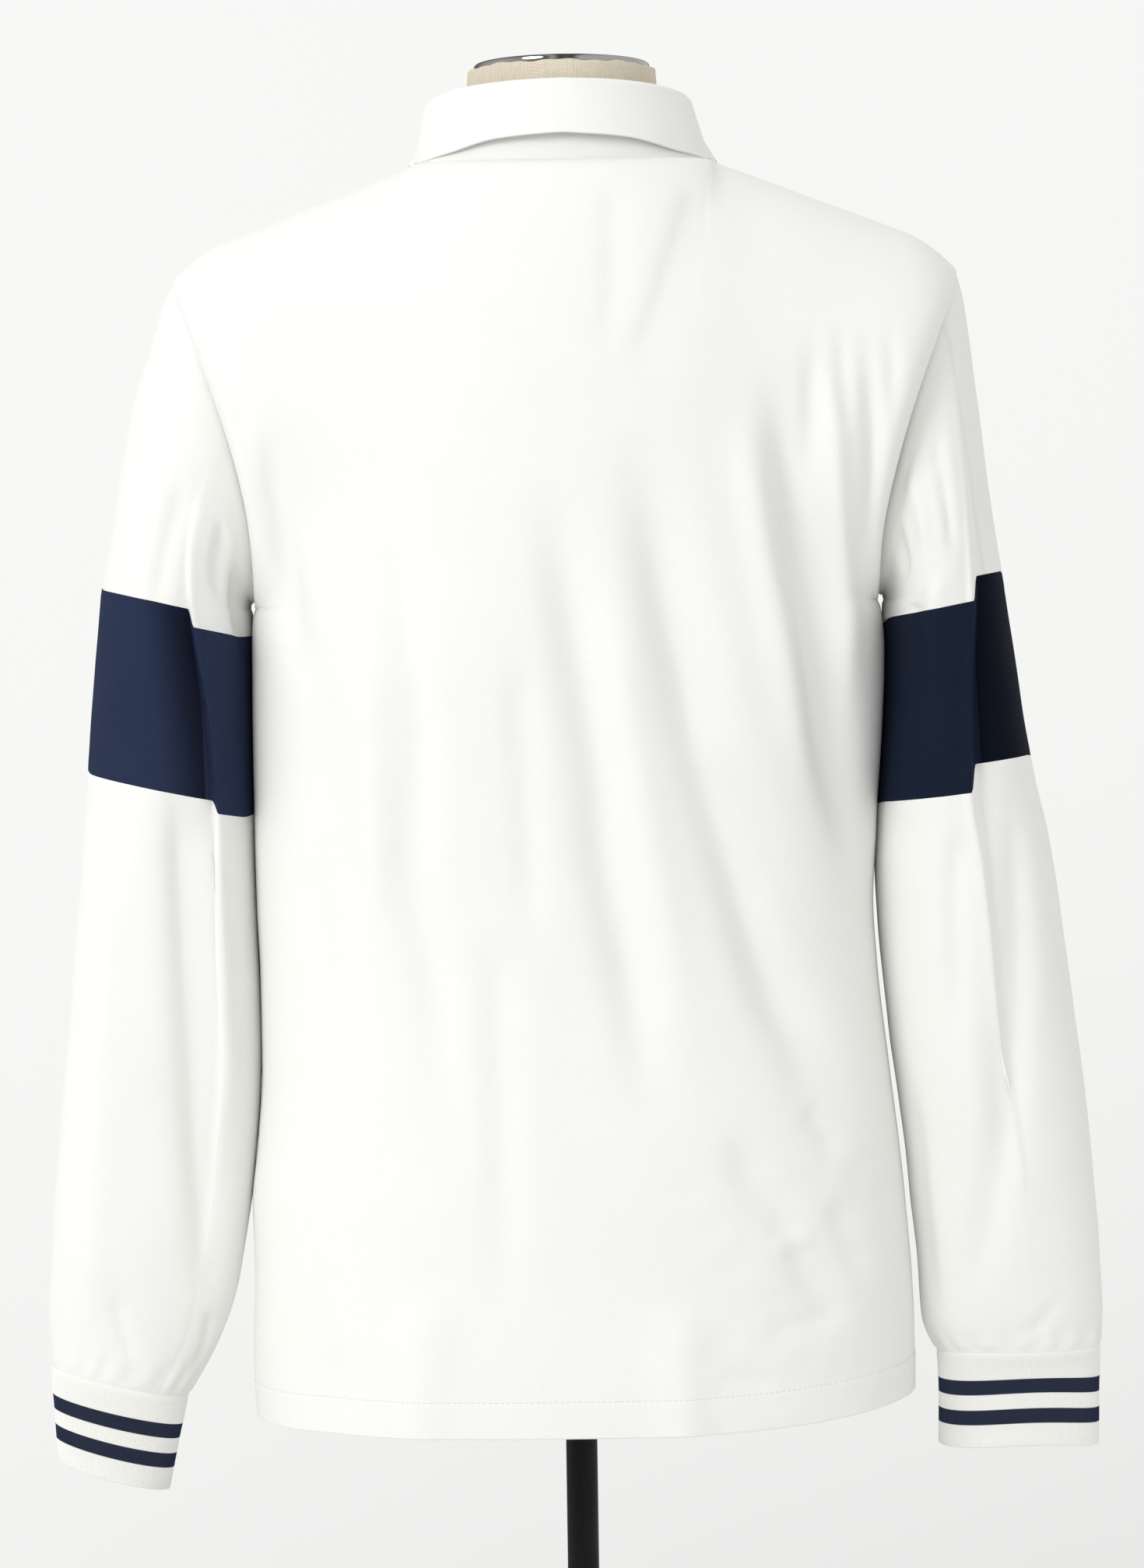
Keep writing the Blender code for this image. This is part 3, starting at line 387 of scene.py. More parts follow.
# the panels' creases: path in millimetres, depth and half widths in tenths, fades
BACK_CREASES = crease_set(1000.0, (
    # the long drag lines from the wearer's right shoulder blade down to the hip
    ((-34, 925, -47, 867, -57, 809, -76, 728, -93, 670, -112, 603, -136, 540, -146, 487), -66,
     150, 190, 0.3, 0.3),
    ((-66, 770, -89, 701, -115, 630, -141, 576), 26, 120, 120),
    ((12, 900, 4, 840, -14, 729, -19, 667, -32, 600, -42, 533, -52, 500), -46, 130, 160, 0.3,
     0.3),
    ((-20, 820, -36, 720, -52, 640, -66, 560), 16, 130, 130),
    ((98, 880, 94, 800, 88, 740, 92, 660, 80, 590, 72, 480), -24, 130, 120),
    ((146, 830, 143, 720, 135, 640, 130, 500), -17, 110, 120),
    ((45, 640, 43, 520, 42, 400), -14, 100, 110),
    ((30, 800, 26, 700, 22, 600), -12, 90, 90),
    ((118, 790, 114, 700, 110, 620), 12, 100, 100),
    # from the right shoulder blade down beside the armhole
    ((-116, 952, -123, 906, -131, 843, -140, 799, -148, 732, -158, 674, -164, 630), -58, 105,
     120, 0.25, 0.35),
    ((-99, 930, -110, 850, -124, 770, -142, 690), 30, 100, 120),
    ((-141, 975, -140, 930, -141, 870), -18, 58, 68, 0.45, 0.45),
    ((-150, 955, -153, 900, -158, 800, -160, 730), 30, 70, 80),
    ((-157, 978, -158, 945, -161, 900), -14, 48, 52, 0.45, 0.45),
    ((-170, 978, -174, 930, -176, 880, -174, 825), -34, 62, 74, 0.4, 0.25),
    ((-183, 978, -187, 940, -188, 895), -15, 48, 54, 0.45, 0.45),
    # beside the left armhole
    ((192, 940, 184, 890, 176, 840), -22, 65, 70),
    ((176, 920, 167, 870, 160, 810, 156, 760), -26, 80, 90),
    # below the collar, where the neck seam pulls
    ((-76, 1052, -62, 1010, -46, 966, -30, 955), -11, 60, 190, 0.1, 0.2),
    ((-27, 1062, -26, 1010, -23, 950), -8, 50, 120, 0.1, 0.3),
    # crumples above the hem, right side
    ((-88, 519, -99, 487, -117, 460, -134, 424, -152, 385), -21, 110, 130),
    ((-131, 524, -142, 508, -152, 492), -12, 62, 80),
    ((-143, 470, -154, 448, -166, 420), -12, 75, 85),
    ((-104, 398, -130, 400, -162, 408), -9, 55, 70),
    ((-76, 374, -98, 369, -118, 366), -7, 45, 60),
    ((-110, 440, -124, 447, -140, 449), 12, 60, 60),
    ((-60, 425, -58, 380, -60, 330), 22, 160, 150, 0.4, 0.01),
    ((85, 435, 90, 380, 94, 330), 20, 170, 170, 0.4, 0.01),
    ((140, 400, 143, 370, 145, 330), -14, 120, 120, 0.4, 0.01),
))
FRONT_CREASES = crease_set(1000.0, (
    ((-52, 905, -64, 850, -84, 760, -96, 680, -106, 580), -40, 140, 160),
    ((60, 915, 72, 860, 90, 740, 98, 660, 102, 570), -38, 150, 130),
    ((-36, 840, -52, 740, -70, 640), 18, 110, 120),
    ((120, 660, 118, 540, 125, 410), -26, 140, 120),
    ((-122, 630, -126, 520, -131, 400), -26, 130, 140),
    ((14, 780, 22, 690, 20, 560), -18, 110, 120),
    ((150, 925, 148, 870, 142, 800), -32, 80, 90),
    ((-152, 930, -148, 875, -140, 805), -34, 90, 80),
    ((172, 935, 172, 895, 168, 845), -24, 56, 60),
    ((-173, 940, -172, 890, -168, 840), -22, 56, 60),
    ((-45, 455, -50, 400, -55, 330), 22, 170, 160, 0.4, 0.01),
    ((70, 450, 74, 390, 78, 330), 18, 150, 160, 0.4, 0.01),
    ((92, 470, 110, 440, 132, 420), -14, 60, 70),
))
# the sleeves' creases: path in degrees round and ring numbers, then as above
SLEEVE_CREASES = {
    Side.LEFT: crease_set(1.0, (
        ((140, 1.6, 146, 2.8, 150, 4.2, 156, 6.8), -48, 85, 100),
        ((118, 1.8, 122, 3, 128, 4.6), -26, 60, 70),
        ((92, 2.4, 84, 4.2, 80, 6.8), -24, 95, 100),
        ((100, 7.6, 106, 9.2, 118, 10.8, 134, 12, 140, 12.6), -52, 105, 140),
        ((122, 8.2, 130, 9.6, 142, 10.8), 22, 80, 90),
        ((50, 8.4, 55, 10.4, 60, 12.2, 66, 13.6), 28, 150, 160),
        ((74, 12.2, 86, 13, 100, 13.6), -14, 50, 60),
        ((140, 12.4, 148, 13, 152, 13.7), -16, 50, 55),
        ((250, 3.8, 262, 7, 268, 10.2), -38, 130, 150),
        ((222, 2.2, 230, 4.4, 236, 6.6), -30, 80, 90),
        ((286, 8.8, 278, 11, 262, 13.2), -32, 120, 140),
    )),
    Side.RIGHT: crease_set(1.0, (
        ((104, 1.2, 106, 2.4, 108, 4), 22, 60, 70),
        ((86, 1.6, 84, 3.2, 82, 5), -22, 70, 80),
        ((126, 1.4, 130, 2.6, 134, 4.2), -24, 55, 65),
        ((104, 4.6, 106, 6.6, 104, 8.4), 30, 110, 120),
        ((128, 5.4, 122, 6.4, 108, 7.2), -14, 70, 60),
        ((58, 8.2, 62, 9.2, 82, 10.4, 104, 11.6, 124, 12.8), -38, 110, 140),
        ((96, 8.3, 106, 9.4, 116, 10.4), -26, 80, 90),
        ((118, 9, 106, 10.2, 98, 11.4), 20, 110, 110),
        ((150, 10.2, 152, 11.6, 146, 13), -16, 80, 90),
        ((60, 12.6, 76, 13.2, 92, 13.6), -8, 70, 70),
        ((246, 3.8, 258, 7, 264, 10.2), -38, 140, 140),
        ((224, 2.4, 232, 4.4, 238, 6.4), -30, 80, 90),
        ((290, 8.8, 280, 11, 266, 13.2), -32, 130, 130),
    )),
}
# how far body and sleeve lean towards each other below the armhole: height, body, sleeve
CLOSER = {
    Side.LEFT: tenths((
        (4300, 0, 0), (4700, 18, 18), (5000, 29, 25), (5400, 40, 36), (5800, 37, 34),
        (6200, 31, 27), (6600, 19, 16), (7000, 10, 8), (7800, 8, 7), (8070, 14, 12),
        (8125, 12, 10), (8150, 0, 0),
    )),
    Side.RIGHT: tenths((
        (4300, 0, 0), (5000, 3, 22), (5600, 3, 22), (6000, 5, 31), (6400, 8, 34),
        (6600, 18, 38), (6800, 27, 36), (7000, 27, 32), (7200, 21, 23), (7400, 13, 13),
        (7700, 9, 8), (7800, 8, 8), (8070, 15, 13), (8125, 13, 11), (8150, 0, 0),
    )),
}


# ---------------------------------------------------------------- meshes
def quads(ids: Grid) -> Grid:
    """Quads of a grid of numbers, row by row, as [n, 4]."""
    corners = [ids[:-1, :-1], ids[:-1, 1:], ids[1:, 1:], ids[1:, :-1]]
    return np.stack(corners, axis=-1).reshape(-1, 4)


def new_object(name: str, data: bpy.types.ID) -> bpy.types.Object:
    """An object in the scene, from its mesh, camera or light."""
    made = bpy.data.objects.new(name, data)
    bpy.context.scene.collection.objects.link(made)
    return made


def aimed(place: Vector, look: Vector) -> Matrix:
    """The frame of a camera or light that looks along a direction."""
    return Matrix.Translation(place) @ look.to_track_quat("-Z", "Y").to_matrix().to_4x4()


def stand_for(node: str) -> None:
    """Hide the solid that a piece stands for."""
    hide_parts(node)


def make_piece(name: str, points: Grid, faces: list, uv: Grid | None,
               material: bpy.types.Material, sharp: float = 55.0) -> bpy.types.Object:
    """Make one shaded object that rides on the part's only body.

    Args:
        name: the piece's name.
        points: its points, [n, 3].
        faces: its faces, lists of point numbers.
        uv: a pair in metres for each face corner in turn, or None.
        material: its finish.
        sharp: edges bent by more than this many degrees are shaded sharp.

    Returns:
        The new object.
    """
    mesh = bpy.data.meshes.new(name)
    mesh.from_pydata(points.tolist(), [], faces)
    if uv is not None:
        layer = mesh.uv_layers.new(name="cut")
        layer.data.foreach_set("uv", uv.astype(np.float32).ravel())
    mesh.update()
    mesh.shade_smooth()
    mesh.set_sharp_from_angle(angle=math.radians(sharp))
    mesh.materials.append(material)
    piece = new_object(name, mesh)
    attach(piece, "root")
    LOG.info("%s: %d faces", name, len(faces))
    return piece


@dataclass
class Shell:
    """A thin cloth wall between an outer grid and the same grid moved in."""

    outer: Grid
    inner: Grid
    wrap: bool
    flip: bool
    u: Grid
    v: Grid
    rim_steps: int = 3

    def rim(self, row: int, way: float) -> Grid:
        """Rings that round the wall over at its first or last row.

        Args:
            row: 0 or -1.
            way: 1 where the rim goes from outer to inner, -1 the other way round.

        Returns:
            The rings, [rim_steps, columns, 3].
        """
        a, b = self.outer[row], self.inner[row]
        ahead = unit(self.outer[row] - self.outer[1 if row == 0 else -2])
        half = 0.5 * np.linalg.norm(a - b, axis=-1, keepdims=True)
        rings = []
        for k in range(1, self.rim_steps + 1):
            turn = math.pi * k / (self.rim_steps + 1)
            flat = 0.5 * (1.0 - way * math.cos(turn))
            rings.append(a * (1.0 - flat) + b * flat + ahead * half * math.sin(turn))
        return np.array(rings)

    def piece(self, name: str, material: bpy.types.Material, node: str,
              slot: str) -> bpy.types.Object:
        """Build the wall as one closed piece.

        Args:
            name: the piece's name.
            material: its finish.
            node: the solid it stands for.
            slot: not used.

        Returns:
            The new object.
        """
        top, foot = self.rim(-1, 1.0), self.rim(0, -1.0)
        rows = np.concatenate([self.outer, top, self.inner[::-1], foot])
        count, cols = rows.shape[:2]
        ids = np.arange(count * cols).reshape(count, cols)
        ids = np.concatenate([ids, ids[:1]])
        u, v = self.u, self.v
        keep = self.outer.shape[0]
        steps = self.rim_steps
        pick = np.concatenate([
            np.arange(keep), np.full(steps, keep - 1), np.arange(keep)[::-1],
            np.zeros(steps, int), [0]])
        if self.wrap:
            ids = joined(ids)
        u, v = u[pick], v[pick]
        faces = quads(ids)
        slots = quads(np.arange(u.size).reshape(u.shape))
        pair = np.stack([u.ravel(), v.ravel()], axis=-1)
        uv = pair[slots]
        if self.flip:
            faces, uv = faces[:, ::-1], uv[:, ::-1]
        lists = faces.tolist()
        uv = uv.reshape(-1, 2)
        if not self.wrap:
            caps, cap_uv = self.side_caps(ids, pair, pick)
            lists += caps
            uv = np.concatenate([uv, cap_uv])
        made = make_piece(name, rows.reshape(-1, 3), lists, uv, material)
        stand_for(node)
        return made

    def side_caps(self, ids: Grid, pair: Grid, pick: Grid) -> tuple[list, Grid]:
        """Faces that close the wall along its first and last columns.

        Args:
            ids: point numbers of the closed grid of rows.
            pair: u and v for each of its points.
            pick: for each row, the row of the outer grid it takes its u and v from.

        Returns:
            The faces, and a u and v pair for each of their corners.
        """
        keep, steps = self.outer.shape[0], self.rim_steps
        faces, uv = [], []
        cols = self.outer.shape[1]
        back = 2 * keep + steps - 1
        for column, turn in ((0, 1), (cols - 1, -1)):
            turn = -turn if self.flip else turn
            for r in range(keep - 1):
                face = [ids[r, column], ids[r + 1, column],
                        ids[back - r - 1, column], ids[back - r, column]]
                faces.append([int(i) for i in face[::turn]])
            ends = (list(range(keep - 1, keep + steps + 1)),
                    list(range(back, back + steps + 1)) + [0])
            for rows in ends:
                faces.append([int(ids[r, column]) for r in rows][::turn])
            spot = pair.reshape(len(pick), -1, 2)
            for face in faces[len(uv):]:
                uv.append([spot[min(i // cols, len(pick) - 1), column] for i in face])
        return faces, np.concatenate([np.array(corner) for corner in uv])


def lathe(name: str, profile: Grid, sides: int, material: bpy.types.Material,
          sharp: float = 35.0) -> bpy.types.Object:
    """A closed body turned about the vertical axis.

    Args:
        name: the piece's name.
        profile: radius and height pairs going up.
        sides: points round each ring.
        material: its finish.
        sharp: edges bent by more than this many degrees are shaded sharp.

    Returns:
        The new object.
    """
    turn = turns(sides)
    rings = np.array([
        np.column_stack([r * np.cos(turn), r * np.sin(turn), np.full(sides, z)])
        for r, z in profile])
    return stack_rings(name, rings, material, sharp)


def stack_rings(name: str, rings: Grid, material: bpy.types.Material,
                sharp: float = 35.0) -> bpy.types.Object:
    """A closed body from a stack of rings, with flat ends.

    Args:
        name: the piece's name.
        rings: the rings going up, [rings, sides, 3].
        material: its finish.
        sharp: edges bent by more than this many degrees are shaded sharp.

    Returns:
        The new object.
    """
    count, sides = rings.shape[:2]
    ids = np.arange(count * sides).reshape(count, sides)
    faces = quads(joined(ids))
    u, v = lengths(joined(rings), 1), joined(lengths(rings, 0))
    slots = quads(np.arange(u.size).reshape(u.shape))
    uv = np.stack([u.ravel(), v.ravel()], axis=-1)[slots].reshape(-1, 2)
    lists = faces.tolist()
    for ring in (ids[0][::-1], ids[-1]):
        lists.append([int(i) for i in ring])
        spots = rings.reshape(-1, 3)[ring][:, :2]
        uv = np.concatenate([uv, spots])
    return make_piece(name, rings.reshape(-1, 3), lists, uv, material, sharp)


def stitch_row(name: str, line: Grid, normals: Grid, material: bpy.types.Material,
               length: float = 0.0026, pitch: float = 0.0034,
               thick: float = 0.00026) -> bpy.types.Object:
    """A run of machine stitches lying in the cloth, joined into one piece.

    Args:
        name: the piece's name.
        line: points that the stitches follow, [n, 3].
        normals: the cloth's normals there.
        material: the thread.
        length: one stitch's length.
        pitch: from one stitch to the next.
        thick: the thread's radius.

    Returns:
        The new object.
    """
    run = lengths(line, 0)
    count = int(run[-1] / pitch)
    points, faces = [], []
    sides = 5
    turn = turns(sides)
    for k in range(count):
        middle = (k + 0.5) * pitch
        ends = [middle - 0.5 * length, middle, middle + 0.5 * length]
        a, m, b = (read_at(end, run, line) for end in ends)
        up = unit(read_at(middle, run, normals))
        ahead = unit(b - a)
        aside = unit(np.cross(ahead, up))
        rings = ((a, 0.0, 0.35), (0.7 * a + 0.3 * m, 0.5, 0.9), (m, 0.85, 1.0),
                 (0.7 * b + 0.3 * m, 0.5, 0.9), (b, 0.0, 0.35))
        first = len(points)
        for centre, rise, size in rings:
            spot = centre + up * thick * (rise - 0.3)
            ring = (np.outer(np.cos(turn), aside) + np.outer(np.sin(turn), up)) * thick * size
            points.extend(spot + ring)
        ids = first + np.arange(len(rings) * sides).reshape(len(rings), sides)
        faces += quads(joined(ids))[:, ::-1].tolist()
        faces.append([int(i) for i in ids[0]])
        faces.append([int(i) for i in ids[-1][::-1]])
    return make_piece(name, np.array(points), faces, None, material, 80.0)


# ---------------------------------------------------------------- shader maths
class Signal:
    """A shader socket in an expression; arithmetic on it adds Math nodes."""

    def __init__(self, graph: "Graph", socket: bpy.types.NodeSocket) -> None:
        """Keep the socket and the graph it is in."""
        self.graph = graph
        self.socket = socket

    def math(self, operation: str, *terms: "Signal | float") -> "Signal":
        """One Math node over some terms."""
        return self.graph.node("ShaderNodeMath", {"operation": operation},
                               dict(enumerate(terms)))

    def __add__(self, other: "Signal | float") -> "Signal":
        """Sum."""
        return self.math("ADD", self, other)

    def __radd__(self, other: float) -> "Signal":
        """Sum, number first."""
        return self.math("ADD", other, self)

    def __sub__(self, other: "Signal | float") -> "Signal":
        """Difference."""
        return self.math("SUBTRACT", self, other)

    def __rsub__(self, other: float) -> "Signal":
        """Difference, number first."""
        return self.math("SUBTRACT", other, self)

    def __mul__(self, other: "Signal | float") -> "Signal":
        """Product."""
        return self.math("MULTIPLY", self, other)

    def __rmul__(self, other: float) -> "Signal":
        """Product, number first."""
        return self.math("MULTIPLY", other, self)

    def __truediv__(self, other: "Signal | float") -> "Signal":
        """Quotient."""
        return self.math("DIVIDE", self, other)

    def __pow__(self, other: "Signal | float") -> "Signal":
        """Power."""
        return self.math("POWER", self, other)

    def __abs__(self) -> "Signal":
        """Size without sign."""
        return self.math("ABSOLUTE", self)

    def sine(self) -> "Signal":
        """Sine of an angle in radians."""
        return self.math("SINE", self)

    def part(self) -> "Signal":
        """What is left of a number after its whole part."""
        return self.math("FRACT", self)

    def whole(self) -> "Signal":
        """The whole part of a number."""
        return self.math("FLOOR", self)

    def soft(self, low: float, high: float) -> "Signal":
        """Smooth 0 to 1 between two values."""
        return self.graph.node(
            "ShaderNodeMapRange", {"interpolation_type": "SMOOTHSTEP"},
            {"Value": self, "From Min": low, "From Max": high})

    def line(self, low: float, high: float) -> "Signal":
        """Straight 0 to 1 between two values, held outside them."""
        return self.graph.node(
            "ShaderNodeMapRange", {"clamp": True},
            {"Value": self, "From Min": low, "From Max": high})


class Graph:
    """The node tree of one material or world."""

    def __init__(self, tree: bpy.types.NodeTree) -> None:
        """Start from an empty tree."""
        self.tree = tree
        tree.nodes.clear()

    def node(self, kind: str, settings: dict | None = None, values: dict | None = None,
             output: int | str = 0) -> Signal:
        """Add one node.

        Args:
            kind: the node's type name.
            settings: its own properties; "stops" fills a colour ramp.
            values: numbers, colours or signals for its inputs, by name or number.
            output: the output wanted, by name or number.

        Returns:
            That output as a signal.
        """
        made = self.tree.nodes.new(kind)
        for name, value in (settings or {}).items():
            if name == "stops":
                self.fill_ramp(made.color_ramp, value)
            else:
                setattr(made, name, value)
        for name, value in (values or {}).items():
            if isinstance(value, Signal):
                self.tree.links.new(value.socket, made.inputs[name])
            else:
                made.inputs[name].default_value = value
        return Signal(self, made.outputs[output] if made.outputs else None)

    @staticmethod
    def fill_ramp(ramp: bpy.types.ColorRamp, stops: tuple) -> None:
        """Give a colour ramp its (place, grey) stops."""
        while len(ramp.elements) < len(stops):
            ramp.elements.new(0.5)
        for element, (place, grey) in zip(ramp.elements, stops):
            element.position = place
            element.color = (grey, grey, grey, 1.0)

    def mix(self, factor: Signal | float, first: Signal | tuple,
            second: Signal | tuple) -> Signal:
        """Mix two colours."""
        colours = [c if isinstance(c, Signal) else (*c[:3], 1.0) for c in (first, second)]
        return self.node("ShaderNodeMix", {"data_type": "RGBA"},
                         {0: factor, 6: colours[0], 7: colours[1]}, 2)

    def cut(self) -> tuple[Signal, Signal]:
        """Across and along the cloth in metres, from the piece's own layout."""
        layout = self.node("ShaderNodeUVMap", {"uv_map": "cut"})
        pair = self.node("ShaderNodeSeparateXYZ", None, {0: layout})
        return pair, Signal(self, pair.socket.node.outputs[1])

    def lumps(self, size: float, detail: float = 2.0) -> Signal:
        """Even noise of 0 to 1 over the object, with lumps of a size in metres."""
        place = self.node("ShaderNodeTexCoord", None, None, "Object")
        return self.node("ShaderNodeTexNoise", None,
                         {"Vector": place, "Scale": 1.0 / size, "Detail": detail})

    def bump(self, height: Signal, distance: float, strength: float = 1.0) -> Signal:
        """A normal from a height of 0 to 1 that stands for a distance in metres."""
        return self.node("ShaderNodeBump", None,
                         {"Height": height, "Distance": distance, "Strength": strength})

    def shade(self, values: dict) -> None:
        """End the tree in one Principled shader."""
        shader = self.node("ShaderNodeBsdfPrincipled", None, values)
        self.node("ShaderNodeOutputMaterial", None, {"Surface": shader})


def new_material(name: str) -> tuple[bpy.types.Material, Graph]:
    """An empty material and its graph."""
    material = bpy.data.materials.new(name)
    material.use_nodes = True
    return material, Graph(material.node_tree)


# ---------------------------------------------------------------- finishes
@dataclass(frozen=True)
class Finish:
    """A named finish with one main colour."""

    name: str
    colour: Colour

    def values(self, graph: Graph) -> dict:
        """The shader's inputs."""
        raise NotImplementedError

    def darker(self, share: float) -> Colour:
        """The main colour with only a share of its light."""
        return tuple(share * c for c in self.colour)

    def material(self) -> bpy.types.Material:
        """Build the finish."""
        material, graph = new_material(self.name)
        graph.shade(self.values(graph))
        return material


@dataclass(frozen=True)
class Jersey(Finish):
    """Heavy cotton jersey: rows of small V stitches with a soft nap, and optional painted shade
    past a sleeve's pleat.
    """

    shade: Colour
    sheen: float
    sheen_colour: Colour
    course: float = 0.00074
    relief: float = 0.00010
    specular: float = 0.25
    nap: float = 0.0016            # size of the cloth's fluff
    cloud: float = 0.045           # size of its broad unevenness
    painted_shade: tuple[float, float, float] | None = None   # painted shade past the pleat: the pleat's place, slope and reach
    painted_shade_edge: float = 0.0010

    def knit(self, graph: Graph) -> Signal:
        """Height of the knit, 0 between stitches and 1 on a leg of yarn."""
        u, v = graph.cut()
        off = abs((u / WALE).part() - 0.5)
        leg = (off * (2.0 * math.pi)).sine()
        lean = v / self.course + off * 0.9
        loop = (lean * (2.0 * math.pi)).sine() * 0.3 + 0.7
        return leg * loop

    def values(self, graph: Graph) -> dict:
        """The shader's inputs."""
        height = self.knit(graph)
        cloud, fluff = graph.lumps(self.cloud, 3.0), graph.lumps(self.nap)
        tone = (cloud * 0.35 + fluff * 0.25 + height * 0.4).line(0.15, 0.75)
        colour = graph.mix(tone, self.shade, self.colour)
        # Painted shade: past the pleat, where the cloth turns away from the light, the colour
        # is darkened.
        if self.painted_shade is not None:
            u, v = graph.cut()
            start, slope, reach = self.painted_shade
            outside = v * slope + start - u
            deep = outside.soft(-self.painted_shade_edge, self.painted_shade_edge) * (
                1.0 - outside.soft(0.15 * reach, reach))
            colour = graph.mix(deep * 0.85, colour, tuple(0.30 * c for c in self.shade))
        return {
            "Base Color": colour,
            "Roughness": fluff * 0.12 + 0.80,
            "Specular IOR Level": self.specular,
            "Sheen Weight": self.sheen,
            "Sheen Roughness": 0.45,
            "Sheen Tint": (*self.sheen_colour, 1.0),
            "Normal": graph.bump(height * 0.8 + fluff * 0.5, self.relief, 0.75),
        }


@dataclass(frozen=True)
class RibKnit(Finish):
    """White ribbed knit with two navy stripes whose edges step with every rib."""

    shade: Colour
    navy: Colour
    pitch: float
    stripes: tuple[tuple[float, float], ...] = ((0.0166, 0.0252), (0.0341, 0.0427))
    tooth: float = 0.00042
    edge: float = 0.00012          # half width of a stripe's soft edge
    nap: float = 0.0012
    course: float = 0.00062

    def values(self, graph: Graph) -> dict:
        """The shader's inputs."""
        u, v = graph.cut()
        rib = abs((u / self.pitch).part() - 0.5) * 2.0
        at = v + rib * self.tooth
        stripe = None
        for low, high in self.stripes:
            inside = at.soft(low - self.edge, low + self.edge) * (
                1.0 - at.soft(high - self.edge, high + self.edge))
            stripe = inside if stripe is None else stripe + inside
        loop = (v * (2.0 * math.pi / self.course)).sine() * 0.5 + 0.5
        fluff = graph.lumps(self.nap)
        tone = (fluff * 0.5 + rib * 0.5).line(0.1, 0.8)
        white = graph.mix(tone, self.colour, self.shade)
        dark = graph.mix(fluff, self.navy, tuple(1.6 * c for c in self.navy))
        return {
            "Base Color": graph.mix(stripe, white, dark),
            "Roughness": fluff * 0.12 + 0.80,
            "Specular IOR Level": 0.2,
            "Sheen Weight": 0.10,
            "Normal": graph.bump(loop * 0.5 + fluff * 0.5, 0.00012, 0.7),
        }


@dataclass(frozen=True)
class PlainWeave(Finish):
    """Plain woven cloth, from fine collar cotton to coarse linen with slubs."""

    shade: Colour
    pitch: float
    relief: float
    slub: float
    nap: float = 0.0010

    def values(self, graph: Graph) -> dict:
        """The shader's inputs."""
        u, v = graph.cut()
        across, along = u / self.pitch, v / self.pitch
        warp = abs((across * math.pi).sine())
        weft = abs((along * math.pi).sine())
        turn = ((across.whole() + along.whole()) * 0.5).part() * 2.0
        over = warp * turn + weft * (1.0 - turn)
        yarns = graph.node("ShaderNodeCombineXYZ", None,
                           {0: across.whole() * 0.37, 1: along * 0.02, 2: 0.0})
        rows = graph.node("ShaderNodeCombineXYZ", None,
                          {0: across * 0.02, 1: along.whole() * 0.41, 2: 3.0})
        thick = graph.node("ShaderNodeTexNoise", None, {"Vector": yarns, "Scale": 3.0})
        thin = graph.node("ShaderNodeTexNoise", None, {"Vector": rows, "Scale": 3.0})
        yarn = thick * turn + thin * (1.0 - turn)
        tone = (yarn * self.slub + over * (1.0 - self.slub)).line(0.10, 0.85)
        fluff = graph.lumps(self.nap)
        return {
            "Base Color": graph.mix(tone, self.shade, self.colour),
            "Roughness": fluff * 0.10 + 0.82,
            "Specular IOR Level": 0.25,
            "Sheen Weight": 0.08,
            "Normal": graph.bump(over * 0.75 + yarn * 0.25, self.relief, 0.8),
        }


@dataclass(frozen=True)
class Metal(Finish):
    """Polished or satin-painted metal with faint handling marks."""

    metallic: float
    rough: float
    specular: float

    def values(self, graph: Graph) -> dict:
        """The shader's inputs."""
        smear = graph.lumps(0.022, 4.0)
        grain = graph.lumps(0.0009)
        return {
            "Base Color": graph.mix(smear, self.darker(0.86), self.colour),
            "Metallic": self.metallic,
            "Roughness": smear * (0.5 * self.rough) + (0.75 * self.rough),
            "Specular IOR Level": self.specular,
            "Normal": graph.bump(grain, 0.00001, 0.35),
        }


@dataclass(frozen=True)
class Pearl(Finish):
    """Off-white moulded button with a faint cloudy sheen."""

    def values(self, graph: Graph) -> dict:
        """The shader's inputs."""
        cloud = graph.lumps(0.0035, 3.0)
        return {
            "Base Color": graph.mix(cloud, self.darker(0.82), self.colour),
            "Roughness": cloud * 0.12 + 0.16,
            "Coat Weight": 0.5,
            "Coat Roughness": 0.08,
            "Normal": graph.bump(cloud, 0.00003, 0.4),
        }


@dataclass(frozen=True)
class Thread(Finish):
    """Two-ply sewing thread."""

    def values(self, graph: Graph) -> dict:
        """The shader's inputs."""
        ply = graph.lumps(0.0006, 1.0)
        return {
            "Base Color": graph.mix(ply, self.darker(0.88), self.colour),
            "Roughness": ply * 0.2 + 0.6,
            "Normal": graph.bump(ply, 0.00008, 0.6),
        }


